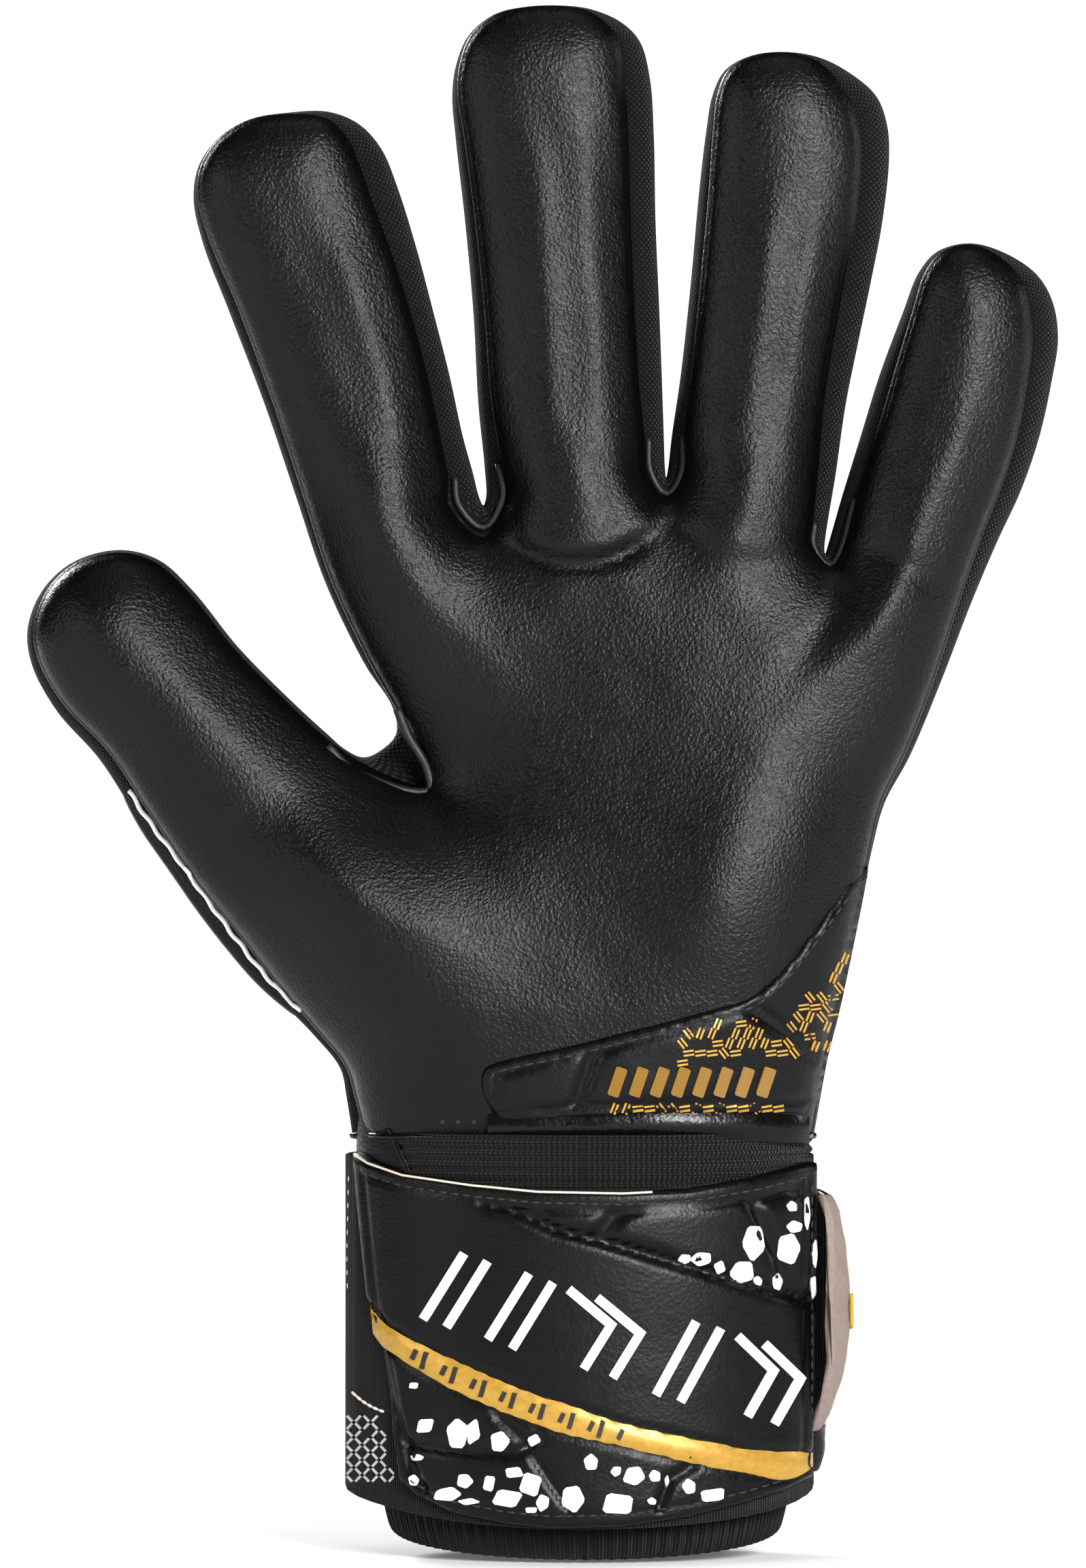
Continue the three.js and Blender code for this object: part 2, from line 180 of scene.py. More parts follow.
def normals_2d(line):
    """Unit normals of an open line, to its right."""
    t = np.gradient(line, axis=0)
    t /= np.linalg.norm(t, axis=1)[:, None]
    return np.stack([t[:, 1], -t[:, 0]], 1)


STEP = 1.15
stations = np.array([(s[0], s[1]) for s in SILHOUETTE], float)
station_normals = normals_2d(stations)
latex_stations = np.array([
    s[3:5] if len(s) > 3 else stations[i] + station_normals[i] * s[2] for i, s in enumerate(SILHOUETTE)
])
back_inset = np.array([2.6 if len(s) < 4 else 3.4 for s in SILHOUETTE])
back_stations = stations + station_normals * back_inset[:, None]
lengths = [
    np.linalg.norm(latex_stations[i + 1] - latex_stations[i]) + np.linalg.norm(stations[i + 1] - stations[i])
    for i in range(len(stations) - 1)
]
counts = [max(2, int(round(v / 2 / STEP))) for v in lengths]
edge_s = spline(stations, counts)
edge_l = spline(latex_stations, counts)
edge_b = spline(back_stations, counts)


def smoothstep(a, b, v):
    t = np.clip((v - a) / (b - a), 0, 1)
    return t * t * (3 - 2 * t)


def distance_to(line, x, z):
    """Least distance from each point to an open polyline."""
    best = np.full(len(x), 1e9)
    q = np.stack([x, z], 1)
    for a, b in zip(line, line[1:]):
        ab = b - a
        t = np.clip(((q - a) @ ab) / max(ab @ ab, 1e-9), 0, 1)
        best = np.minimum(best, np.hypot(*(q - a - t[:, None] * ab).T))
    return best


def inside_polygon(poly, x, z):
    inside = np.zeros(len(x), bool)
    for (x0, z0), (x1, z1) in zip(poly, np.roll(poly, -1, axis=0)):
        crosses = (z0 > z) != (z1 > z)
        with np.errstate(divide="ignore", invalid="ignore"):
            at = x0 + (z - z0) * (x1 - x0) / (z1 - z0)
        inside ^= crosses & (x < at)
    return inside


def fill(poly, spacing, rings=()):
    """Triangles over a closed outline: points (the outline's own come first) and faces."""
    poly = np.asarray(poly, float)
    lo, hi = poly.min(0), poly.max(0)
    rows = np.arange(lo[1] + spacing / 2, hi[1], spacing * 0.866)
    columns = np.arange(lo[0], hi[0] + spacing, spacing)
    pts = [(x + (i % 2) * spacing / 2, z) for i, z in enumerate(rows) for x in columns]
    pts = np.array(pts).reshape(-1, 2)
    pts = pts[inside_polygon(poly, pts[:, 0], pts[:, 1])]
    closed = np.vstack([poly, poly[:1]])
    pts = pts[distance_to(closed, pts[:, 0], pts[:, 1]) > (rings[-1] + 0.7 if rings else spacing * 0.5)]
    inward = normals_2d(closed)[:-1]
    if rings and not inside_polygon(poly, *(poly[1:2] + inward[1:2] * 0.3).T)[0]:
        inward = -inward
    for ring in rings:
        line = poly + inward * ring
        x, z = line.T
        clear = inside_polygon(poly, x, z) & (distance_to(closed, x, z) > ring * 0.93)
        pts = np.vstack([pts, line[clear]])
    every = [Vector(p) for p in np.vstack([poly, pts])]
    out = geometry.delaunay_2d_cdt(every, [], [list(range(len(poly)))], 1, 1e-5)
    return np.array([tuple(v) for v in out[0]]), [tuple(f) for f in out[2]]


def denser(outline, step=1.2):
    p = np.asarray(outline, float)
    out = []
    for a, b in zip(p, np.roll(p, -1, axis=0)):
        k = max(1, int(round(np.linalg.norm(b - a) / step)))
        out += [a + (b - a) * i / k for i in range(k)]
    return np.array(out)


def rounded(outline, rounds=2, cut=0.25):
    """Corners cut off a closed outline, again and again."""
    p = np.asarray(outline, float)
    for _ in range(rounds):
        q = np.roll(p, -1, axis=0)
        p = np.stack([p * (1 - cut) + q * cut, p * cut + q * (1 - cut)], 1).reshape(-1, 2)
    return p


def closed(line):
    return np.vstack([line, np.asarray(line)[:1]])


# ---- Heights of the palm side and of the back ----


def wobble(x, z, size, seed):
    """Slow, repeatable unevenness from -1 to 1."""
    total = np.zeros(len(x))
    r = random.Random(seed)
    for _ in range(6):
        angle, phase = r.uniform(0, math.tau), r.uniform(0, math.tau)
        total += np.sin((x * math.cos(angle) + z * math.sin(angle)) * math.tau / (size * r.uniform(0.7, 1.5)) + phase)
    return total / 6


def bump_at(x, z, cx, cz, rx, rz, turn=0.0):
    a = math.radians(turn)
    u = ((x - cx) * math.cos(a) + (z - cz) * math.sin(a)) / rx
    v = (-(x - cx) * math.sin(a) + (z - cz) * math.cos(a)) / rz
    return np.exp(-(u * u + v * v))


def thumbness(x, z):
    s, t = along("thumb", x, z)
    return smoothstep(-28, -4, s) * (1 - smoothstep(20, 32, t))


# each finger's raised lines on the palm side: how far across the finger they are, and how far along it they end
FINGER_RIDGES = (("index", (5.2,), 40), ("middle", (-3.4, 5.4), 56), ("ring", (-3.0, 5.0), 46), ("little", (2.0,), 22))


def crowned(z, d, thumb, depth, edge, reach, on_thumb):
    """The shape from an edge up to its depth, at distance d inside the edge. Each table is heights and values."""
    depth, edge, reach = (np.interp(z, *table) for table in (depth, edge, reach))
    depth, edge, reach = (v + (other - v) * thumb for v, other in zip((depth, edge, reach), on_thumb))
    power = np.interp(z, [77, 150], [2.0, 1.75])
    u = np.clip(d / reach, 0, 1)
    return edge + (depth - edge) * (1 - (1 - u) ** power) ** (1 / power)


def front_y(x, z, d):
    """Height of the latex palm, towards -Y, at distance d inside its free edge."""
    thumb = thumbness(x, z)
    depth = [77, 100, 130, 160, 185, 200, 240, 280], [21.6, 23.0, 21.6, 18.6, 15.6, 14.3, 13.4, 12.8]
    edge = [77, 100, 130, 160, 190, 215, 280], [5, 7, 8.2, 8.2, 8.2, 8.2, 8.0]
    reach = [77, 100, 130, 160, 185, 205], [38, 33, 27, 21, 15, 12.0]
    y = crowned(z, d, thumb, depth, edge, reach, (17.2, 9.5, 13.5))
    y = y + 3.0 * bump_at(x, z, -36, 115, 15, 22, 38) * smoothstep(0, 14, d)
    y = y + 1.8 * bump_at(x, z, -72, 152, 9, 30, 44) * smoothstep(0, 10, d)
    y = y + 3.2 * bump_at(x, z, 27, 119, 15, 22, -8) * smoothstep(0, 12, d)
    y = y - 3.8 * bump_at(x, z, -14, 150, 22, 26, 0)
    y = y + 1.6 * bump_at(x, z, -33, 190, 11, 15, 15) * smoothstep(0, 8, d)
    lobe_m = np.hypot(x + 1.8, z - 199.8)
    y = y + 1.5 * (1 - smoothstep(18.4, 20.6, lobe_m)) * smoothstep(214, 190, z) * smoothstep(0, 5, d)
    crease = 1.4 * np.exp(-(((lobe_m - 20.6) / 1.5) ** 2))
    y = y - crease * smoothstep(190, 184, z) * smoothstep(14, 10, np.abs(x + 1.8))
    lobe_r = np.hypot(x - 31.0, z - 199.5)
    y = y + 0.9 * (1 - smoothstep(16.5, 21, lobe_r)) * smoothstep(214, 192, z) * smoothstep(0, 5, d)
    y = y + 1.2 * bump_at(x, z, 52, 171, 8, 9, -30) * smoothstep(0, 6, d)
    y = y - 0.8 * bump_at(x, z, 43, 169, 3, 12, -35)
    y = y - 0.7 * bump_at(x, z, 58, 178, 2.4, 9, 60)
    for name, ridges, tip in FINGER_RIDGES:
        s, t = along(name, x, z)
        on = smoothstep(-10, 8, s) * (1 - smoothstep(tip - 18, tip, s)) * (1 - smoothstep(13, 15, np.abs(t)))
        for ridge in ridges:
            y = y + 0.55 * on * np.exp(-(((t - ridge) / 2.6) ** 2))
    y = y + 0.35 * wobble(x, z, 34, 3) + 0.12 * wobble(x, z, 11, 5)
    return -y


def back_y(x, z, d):
    """Height of the back, towards +Y, at distance d inside its edge."""
    thumb = thumbness(x, z)
    depth = [77, 100, 130, 160, 185, 205, 240, 280], [22.2, 21.5, 19.6, 17.0, 14.4, 13.0, 12.2, 11.6]
    edge = [77, 100, 130, 160, 190, 280], [5, 6.5, 7.5, 7.5, 7.0, 6.5]
    reach = [77, 100, 130, 160, 185, 205], [38, 32, 26, 20, 15, 12.5]
    y = crowned(z, d, thumb, depth, edge, reach, (13.4, 7.0, 13.5))
    for name in NAMES:
        s, t = along(name, x, z)
        bend = DIGITS[name]["bend"]
        on = smoothstep(-4, 2, s) * (1 - smoothstep(13, 15, np.abs(t)))
        for at in (bend - 10, bend - 5, bend, bend + 5, bend + 10):
            y = y - 0.55 * on * np.exp(-(((s - at) / 0.75) ** 2)) * (1 - smoothstep(8.2, 9.4, np.abs(t)))
        y = y - 0.45 * on * np.exp(-(((np.abs(t) - 9.8) / 0.6) ** 2)) * smoothstep(1.5, 4, d)
    return y + 0.25 * wobble(x, z, 30, 11)


# ---- Meshes ----


def new_mesh(name, verts, faces, uv=None, smooth=True):
    """An object from points in mm; uv gives one pair per point."""
    mesh = bpy.data.meshes.new(name)
    mesh.from_pydata((np.asarray(verts, float) * MM).tolist(), [], [tuple(int(i) for i in f) for f in faces])
    if uv is not None:
        layer = mesh.uv_layers.new(name="weave")
        index = np.empty(len(mesh.loops), int)
        mesh.loops.foreach_get("vertex_index", index)
        layer.data.foreach_set("uv", np.asarray(uv, float)[index].ravel().astype(np.float32))
    mesh.polygons.foreach_set("use_smooth", [smooth] * len(mesh.polygons))
    mesh.update()
    obj = bpy.data.objects.new(name, mesh)
    bpy.context.scene.collection.objects.link(obj)
    return obj


def vertex_normals(verts, faces):
    v = np.asarray(verts, float)
    n = np.zeros_like(v)
    for f in faces:
        p = v[list(f)]
        face = np.cross(p[1] - p[0], p[-1] - p[0]) if len(f) == 3 else np.cross(p[2] - p[0], p[3] - p[1])
        for i in f:
            n[i] += face
    return n / np.maximum(np.linalg.norm(n, axis=1)[:, None], 1e-9)


def attach(obj, region, nodes=()):
    """Puts a piece of the hand region on the hand's body; a piece of any other region only has its transform baked in.
    """
    if region == "hand":
        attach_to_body(obj, "hand")
    else:
        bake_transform(obj)
    if nodes:
        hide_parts(*nodes)


def split_regions(stem, verts, faces, uv, key, material, nodes):
    """Cuts one surface into its regions with the whole surface's normals, so that no seam shows."""
    verts = np.asarray(verts, float)
    whole = vertex_normals(verts, faces)
    centres = np.array([np.mean(key[list(f)], axis=0) for f in faces])
    regions = region_of(centres[:, 0], centres[:, 1])
    made = {}
    for r, region in enumerate(REGIONS):
        mine = [faces[i] for i in np.nonzero(regions == r)[0]]
        if not mine:
            continue
        used = sorted({i for f in mine for i in f})
        index = {old: new for new, old in enumerate(used)}
        part = [tuple(index[i] for i in f) for f in mine]
        obj = new_mesh(f"{region}_{stem}", verts[used], part, uv[used])
        obj.data.normals_split_custom_set_from_vertices(whole[used].tolist())
        obj.data.materials.append(material)
        attach(obj, region, nodes(region))
        made[region] = obj
    return made


def tube(name, path, radius, material, sides=8, closed=False, flat=1.0):
    """A round cord of mesh along points in mm."""
    p = np.asarray(path, float)
    n = len(p)
    t = np.gradient(p, axis=0)
    if closed:
        t = np.roll(p, -1, axis=0) - np.roll(p, 1, axis=0)
    t /= np.maximum(np.linalg.norm(t, axis=1)[:, None], 1e-9)
    up = np.array([0.0, 1.0, 0.0])
    verts, uv = [], []
    for i in range(n):
        side = np.cross(t[i], up)
        side /= max(np.linalg.norm(side), 1e-6)
        top = np.cross(side, t[i])
        for k in range(sides):
            a = math.tau * k / sides
            verts.append(p[i] + radius * (math.cos(a) * side + flat * math.sin(a) * top))
            uv.append((i * 1.0, k))
    faces = []
    for i in range(n if closed else n - 1):
        j = (i + 1) % n
        for k in range(sides):
            m = (k + 1) % sides
            faces.append((i * sides + k, i * sides + m, j * sides + m, j * sides + k))
    if not closed:
        faces += [tuple(range(sides - 1, -1, -1)), tuple((n - 1) * sides + k for k in range(sides))]
    obj = new_mesh(name, verts, faces, uv)
    obj.data.materials.append(material)
    return obj


# ---- Materials ----


class Nodes:
    """A material's node tree, built up from the shader back."""

    def __init__(self, name, color, roughness, **sockets):
        self.material = bpy.data.materials.new(name)
        self.material.use_nodes = True
        self.tree = self.material.node_tree
        self.shader = self.tree.nodes["Principled BSDF"]
        self.shader.inputs["Base Color"].default_value = (*color, 1)
        self.shader.inputs["Roughness"].default_value = roughness
        for key, value in sockets.items():
            self.shader.inputs[key.replace("_", " ")].default_value = value
        self.color = color

    def node(self, kind, **inputs):
        n = self.tree.nodes.new(kind)
        for key, value in inputs.items():
            if key in n.inputs:
                n.inputs[key].default_value = value
            else:
                setattr(n, key, value)
        return n

    def link(self, a, b):
        self.tree.links.new(a, b)

    def uv(self, scale=(1, 1, 1), turn=0.0):
        src = self.node("ShaderNodeUVMap", uv_map="weave")
        mapping = self.node("ShaderNodeMapping")
        mapping.inputs["Scale"].default_value = scale
        mapping.inputs["Rotation"].default_value = (0, 0, turn)
        self.link(src.outputs["UV"], mapping.inputs["Vector"])
        return mapping.outputs["Vector"]

    def solid(self, scale=(1000, 1000, 1000)):
        """Places in the piece itself, in mm."""
        src = self.node("ShaderNodeTexCoord")
        mapping = self.node("ShaderNodeMapping")
        mapping.inputs["Scale"].default_value = scale
        self.link(src.outputs["Object"], mapping.inputs["Vector"])
        return mapping.outputs["Vector"]

    def noise(self, vector, scale, detail=3.0, rough=0.55):
        n = self.node("ShaderNodeTexNoise", Scale=scale, Detail=detail, Roughness=rough)
        self.link(vector, n.inputs["Vector"])
        return n.outputs["Fac"]

    def cells(self, vector, scale, feature="F1"):
        n = self.node("ShaderNodeTexVoronoi", Scale=scale)
        n.feature = feature
        self.link(vector, n.inputs["Vector"])
        return n.outputs["Distance"]

    def wave(self, vector, scale, direction="X", distortion=0.0):
        n = self.node("ShaderNodeTexWave", Scale=scale, Distortion=distortion)
        n.wave_type = "BANDS"
        n.bands_direction = direction
        self.link(vector, n.inputs["Vector"])
        return n.outputs["Fac"]

    def math(self, operation, a, b):
        n = self.node("ShaderNodeMath", operation=operation)
        for socket, value in zip(n.inputs, (a, b)):
            if isinstance(value, (int, float)):
                socket.default_value = value
            else:
                self.link(value, socket)
        return n.outputs[0]

    def ramp(self, value, low, high, out_low=0.0, out_high=1.0):
        n = self.node("ShaderNodeMapRange")
        for key, v in zip(("From Min", "From Max", "To Min", "To Max"), (low, high, out_low, out_high)):
            n.inputs[key].default_value = v
        self.link(value, n.inputs["Value"])
        return n.outputs["Result"]

    def tint(self, value, a, b):
        n = self.node("ShaderNodeMix", data_type="RGBA")
        n.inputs[6].default_value = (*a, 1)
        n.inputs[7].default_value = (*b, 1)
        self.link(value, n.inputs[0])
        self.link(n.outputs[2], self.shader.inputs["Base Color"])
        return self

    def rough(self, value, low, high):
        self.link(self.ramp(value, 0.3, 0.7, low, high), self.shader.inputs["Roughness"])
        return self

    def bump(self, *layers):
        """Each layer is (height, strength, distance in mm)."""
        normal = None
        for height, strength, distance in layers:
            n = self.node("ShaderNodeBump", Strength=strength, Distance=distance * MM)
            self.link(height, n.inputs["Height"])
            if normal is not None:
                self.link(normal, n.inputs["Normal"])
            normal = n.outputs["Normal"]
        self.link(normal, self.shader.inputs["Normal"])
        return self


def latex_material():
    m = Nodes("foam_latex", (0.003, 0.003, 0.0033), 0.36, Specular_IOR_Level=0.30)
    v = m.solid()
    broad = m.noise(v, 0.06, 3)
    grain = m.noise(v, 2.1, 2, 0.5)
    pores = m.cells(v, 1.25)
    m.tint(m.math("MULTIPLY", broad, grain), (0.0010, 0.0010, 0.0012), (0.0055, 0.0055, 0.006))
    m.rough(m.noise(v, 0.35, 4), 0.34, 0.43)
    return m.bump((broad, 0.15, 0.8), (grain, 1.0, 0.15), (pores, 0.8, 0.08)).material


def mesh_material():
    sockets = {"Specular_IOR_Level": 0.2, "Sheen_Weight": 0.06, "Sheen_Roughness": 0.4}
    m = Nodes("spacer_mesh", (0.006, 0.006, 0.0065), 0.85, **sockets)
    v = m.uv()
    rows = m.wave(m.uv((1, 1, 1), math.pi / 4), 0.42, "X", 1.2)
    cols = m.wave(m.uv((1, 1, 1), -math.pi / 4), 0.42, "X", 1.2)
    weave = m.math("MULTIPLY", rows, cols)
    m.tint(m.math("MULTIPLY", weave, m.noise(v, 0.6, 2)), (0.003, 0.003, 0.0033), (0.045, 0.045, 0.046))
    return m.bump((weave, 0.8, 0.5), (m.noise(v, 3, 2), 0.3, 0.15)).material


def leather_material(name, dark, light, low=0.30, high=0.46):
    m = Nodes(name, dark, 0.38, Specular_IOR_Level=0.26)
    v = m.solid()
    grain = m.cells(v, 1.5)
    m.tint(m.noise(v, 0.12, 4), dark, light)
    m.rough(m.noise(v, 0.5, 3), low, high)
    return m.bump((grain, 0.7, 0.055), (m.noise(v, 0.25, 3), 0.3, 0.3)).material


def knit_material(name, dark, light, scale=0.5):
    m = Nodes(name, dark, 0.9, Specular_IOR_Level=0.2, Sheen_Weight=0.08, Sheen_Roughness=0.5)
    v = m.uv()
    rib = m.wave(v, scale, "X", 0.4)
    row = m.wave(v, scale * 1.6, "Y", 0.8)
    loops = m.math("MULTIPLY", rib, row)
    m.tint(loops, dark, light)
    return m.bump((rib, 0.7, 0.5), (row, 0.5, 0.3)).material


def print_material(name, dark, light, roughness=0.42, metallic=0.0):
    m = Nodes(name, light, roughness, Metallic=metallic)
    v = m.uv()
    m.tint(m.noise(v, 0.9, 4), dark, light)
    m.rough(m.noise(v, 0.8, 3), roughness - 0.06, roughness + 0.1)
    return m.bump((m.noise(v, 2.5, 3), 0.15, 0.12)).material


def thread_material(name, dark, light):
    m = Nodes(name, light, 0.38, Sheen_Weight=0.06, Sheen_Roughness=0.4)
    strands = m.wave(m.uv((1, 1, 1), math.radians(38)), 2.6, "X", 0.6)
    m.tint(strands, dark, light)
    return m.bump((strands, 0.8, 0.25)).material


LATEX = latex_material()
MESH = mesh_material()
LEATHER = leather_material("embossed_leather", (0.0016, 0.0014, 0.0017), (0.0056, 0.0048, 0.0054), 0.33, 0.45)
GLOSSY = leather_material("binding_tape", (0.0025, 0.0022, 0.0026), (0.007, 0.006, 0.007), 0.2, 0.32)
KNIT = knit_material("rib_knit", (0.004, 0.004, 0.0045), (0.020, 0.020, 0.021))
ELASTIC = knit_material("wrist_elastic_knit", (0.004, 0.004, 0.0045), (0.026, 0.026, 0.027), 0.38)
BACK = leather_material("backhand_body", (0.003, 0.003, 0.0033), (0.009, 0.009, 0.0095), 0.38, 0.52)
PAD = leather_material("backhand_pad_leather", (0.003, 0.003, 0.0033), (0.010, 0.010, 0.0105), 0.30, 0.44)
TAUPE = print_material("taupe_lining", (0.17, 0.13, 0.11), (0.27, 0.215, 0.19), 0.6)
# Cream for the real binding and stitches, and also for the painted highlight along the strap's top edge.
CREAM = print_material("cream_binding_and_painted_highlight", (0.52, 0.45, 0.38), (0.66, 0.59, 0.50), 0.6)
WHITE = print_material("white_print", (0.80, 0.80, 0.80), (0.93, 0.93, 0.93), 0.45)
GOLD = print_material("gold_print", (0.33, 0.18, 0.028), (0.54, 0.33, 0.060), 0.36, 0.25)
SILVER = print_material("silver_print", (0.38, 0.38, 0.39), (0.55, 0.55, 0.56), 0.4, 0.3)
THREAD = print_material("black_thread", (0.010, 0.010, 0.011), (0.035, 0.035, 0.037), 0.6)
INK = print_material("dark_print", (0.012, 0.011, 0.010), (0.03, 0.028, 0.026), 0.5)
HOOKS = print_material("hook_tape", (0.010, 0.010, 0.010), (0.022, 0.022, 0.022), 0.7)
GOLD_THREAD = thread_material("gold_thread", (0.26, 0.13, 0.015), (0.56, 0.31, 0.045))
PIPE = print_material("black_piping", (0.006, 0.006, 0.007), (0.016, 0.016, 0.017), 0.5)

# ---- Palm latex ----

# how far out and how far back each turn of the edge lies, mm
LIP = [(0.0, 0.0), (0.30, 0.30), (0.42, 0.95), (0.38, 2.2), (0.05, 3.0), (-1.3, 3.6)]


def panel(line, height, spacing, side, lip):
    """A curved panel inside an open line, with a turned edge. side is 1 for the palm, -1 for the back."""
    bottom = np.linspace(line[-1], line[0], 60)[1:-1]
    points, faces = fill(np.vstack([line, bottom]), spacing, (0.5, 1.2, 2.1, 3.2))
    d = distance_to(line, points[:, 0], points[:, 1])
    y = height(points[:, 0], points[:, 1], d)
    verts = np.stack([points[:, 0], y, points[:, 1]], 1)
    n = len(line)
    out = -normals_2d(line)
    key = points.copy()
    loops = [list(range(n))]
    for dist, back in lip[1:]:
        ring = np.stack([line[:, 0] + out[:, 0] * dist, y[:n] + side * back, line[:, 1] + out[:, 1] * dist], 1)
        loops.append(list(range(len(verts), len(verts) + n)))
        verts = np.vstack([verts, ring])
        key = np.vstack([key, line])
    faces = [tuple(f) if side > 0 else tuple(reversed(f)) for f in faces]
    for a, b in zip(loops, loops[1:]):
        for i in range(n - 1):
            quad = (a[i], b[i], b[i + 1], a[i + 1])
            faces.append(quad if side < 0 else tuple(reversed(quad)))
    uv = np.stack([verts[:, 0], verts[:, 2]], 1)
    return verts, faces, uv, key, y[:n]


def digit_nodes(stem, hand_nodes):
    def nodes(region):
        if region == "hand":
            return hand_nodes
        name, part = region.rsplit("_", 1)
        return (f"{name}_{stem}_{'proximal' if part == 'knuckle' else 'distal'}",)
    return nodes


palm_v, palm_f, palm_uv, palm_key, palm_edge_y = panel(edge_l, front_y, 1.6, 1, LIP)
palm_nodes = digit_nodes("palm", ("palm_latex", "palm_lining"))
split_regions("latex", palm_v, palm_f, palm_uv, palm_key, LATEX, palm_nodes)

# ---- Back ----

BACK_LIP = [(0.0, 0.0), (0.3, 0.4), (0.3, 1.6), (-0.6, 2.2)]
back_v, back_f, back_uv, back_key, back_edge_y = panel(edge_b, back_y, 1.6, -1, BACK_LIP)
back_nodes = digit_nodes("back", ("backhand_panel", "backhand_lining"))
split_regions("back", back_v, back_f, back_uv, back_key, BACK, back_nodes)

# ---- Quilted pad on the back of the hand ----

PAD_OUTLINE = [
    (-28, 104), (-6, 92), (28, 98), (46, 138), (57, 169), (36, 178), (4, 182), (-31, 178), (-27, 151), (-34, 128),
]
PAD_SEAMS = [
    [(-14, 96), (-17, 130), (-14, 148), (-19, 181)],
    [(6, 94), (5, 124), (9, 146), (10, 183)],
    [(24, 98), (26, 126), (32, 150), (36, 179)],
    [(-33, 134), (-17, 130), (5, 124), (26, 126), (44, 133)],
]
SIM = 10.0  # the pad is simulated ten times its size, where cloth behaves


def back_at(x, z):
    inside = inside_polygon(edge_b, x, z)
    return back_y(x, z, distance_to(edge_b, x, z) * inside)


def quilted_pad():
    ring = denser(rounded(curve(PAD_OUTLINE + PAD_OUTLINE[:1], 6.0)[:-1], 1), 2.5)
    points, faces = fill(ring, 3.0)
    x, z = points[:, 0], points[:, 1]
    base = back_at(x, z)
    n, m = len(points), len(ring)
    top = np.stack([x, base + 0.7, z], 1)
    under = np.stack([x, base - 4.0, z], 1)
    skin = [tuple(reversed(f)) for f in faces] + [tuple(i + n for i in f) for f in faces]
    flow = sum(ring[i - 1][0] * ring[i][1] - ring[i][0] * ring[i - 1][1] for i in range(m)) > 0
    for i in range(m):
        j = (i + 1) % m
        quad = (i, j, n + j, n + i)
        skin.append(quad if flow else tuple(reversed(quad)))
    mesh = bpy.data.meshes.new("pad_start")
    mesh.from_pydata((np.vstack([top, under]) * MM * SIM).tolist(), [], skin)
    obj = bpy.data.objects.new("pad_start", mesh)
    bpy.context.scene.collection.objects.link(obj)
    remesh = obj.modifiers.new("remesh", "REMESH")
    remesh.mode = "VOXEL"
    remesh.voxel_size = 2.2 * MM * SIM
    graph = bpy.context.evaluated_depsgraph_get()
    even = bpy.data.meshes.new_from_object(obj.evaluated_get(graph))
    obj.modifiers.clear()
    obj.data = even
    rest = np.empty(len(even.vertices) * 3)
    even.vertices.foreach_get("co", rest)
    rest = rest.reshape(-1, 3) / MM / SIM
    depth = rest[:, 1] - back_at(rest[:, 0], rest[:, 2])
    seam = np.full(len(rest), 1e9)
    for line in [curve(line, 2.0) for line in PAD_SEAMS] + [closed(ring)]:
        seam = np.minimum(seam, distance_to(line, rest[:, 0], rest[:, 2]))
    held = obj.vertex_groups.new(name="held")
    for i in range(len(rest)):
        weight = 1.0 if depth[i] < -1.0 or seam[i] < 1.7 else 0.0
        held.add([i], weight, "REPLACE")
    cloth = obj.modifiers.new("cloth", "CLOTH")
    cloth.settings.vertex_group_mass = "held"
    cloth.settings.quality = 6
    cloth.settings.tension_stiffness = 4
    cloth.settings.compression_stiffness = 4
    cloth.settings.bending_stiffness = 0.2
    cloth.settings.use_pressure = True
    cloth.settings.uniform_pressure_force = 14.0
    cloth.settings.effector_weights.gravity = 0.0
    cloth.collision_settings.use_collision = False
    cloth.point_cache.frame_start = 1
    cloth.point_cache.frame_end = 20
    moved = rest
    for frame_number in range(1, 21):
        bpy.context.scene.frame_set(frame_number)
    graph = bpy.context.evaluated_depsgraph_get()
    result = obj.evaluated_get(graph).to_mesh()
    moved = np.empty(len(result.vertices) * 3)
    result.vertices.foreach_get("co", moved)
    moved = moved.reshape(-1, 3) / MM / SIM
    bpy.context.scene.frame_set(1)
    push = moved - rest
    size = np.linalg.norm(push, axis=1)
    push *= (np.minimum(size, 2.6) / np.maximum(size, 1e-9))[:, None]
    final = rest + push
    final[:, 1] -= 0.9 * np.exp(-((seam / 0.9) ** 2)) * (depth > -1.0)
    faces = [tuple(p.vertices) for p in even.polygons]
    bpy.data.objects.remove(obj)
    pad = new_mesh("backhand_pad_quilted", final, faces, np.stack([final[:, 0], final[:, 2]], 1))
    pad.data.materials.append(PAD)
    smooth = pad.modifiers.new("subdivision", "SUBSURF")
    smooth.levels = smooth.render_levels = 1
    graph = bpy.context.evaluated_depsgraph_get()
    fine = bpy.data.meshes.new_from_object(pad.evaluated_get(graph))
    pad.modifiers.clear()
    pad.data = fine
    return pad


pad = quilted_pad()
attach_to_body(pad, "hand")
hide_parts("backhand_pad")
pad_verts = [tuple(v.co / MM) for v in pad.data.vertices]
pad_faces = [tuple(f.vertices) for f in pad.data.polygons]
whole_back_tree = BVHTree.FromPolygons(
    back_v.tolist() + pad_verts, back_f + [tuple(i + len(back_v) for i in f) for f in pad_faces]
)

# ---- Mesh gussets ----

ROWS = 12


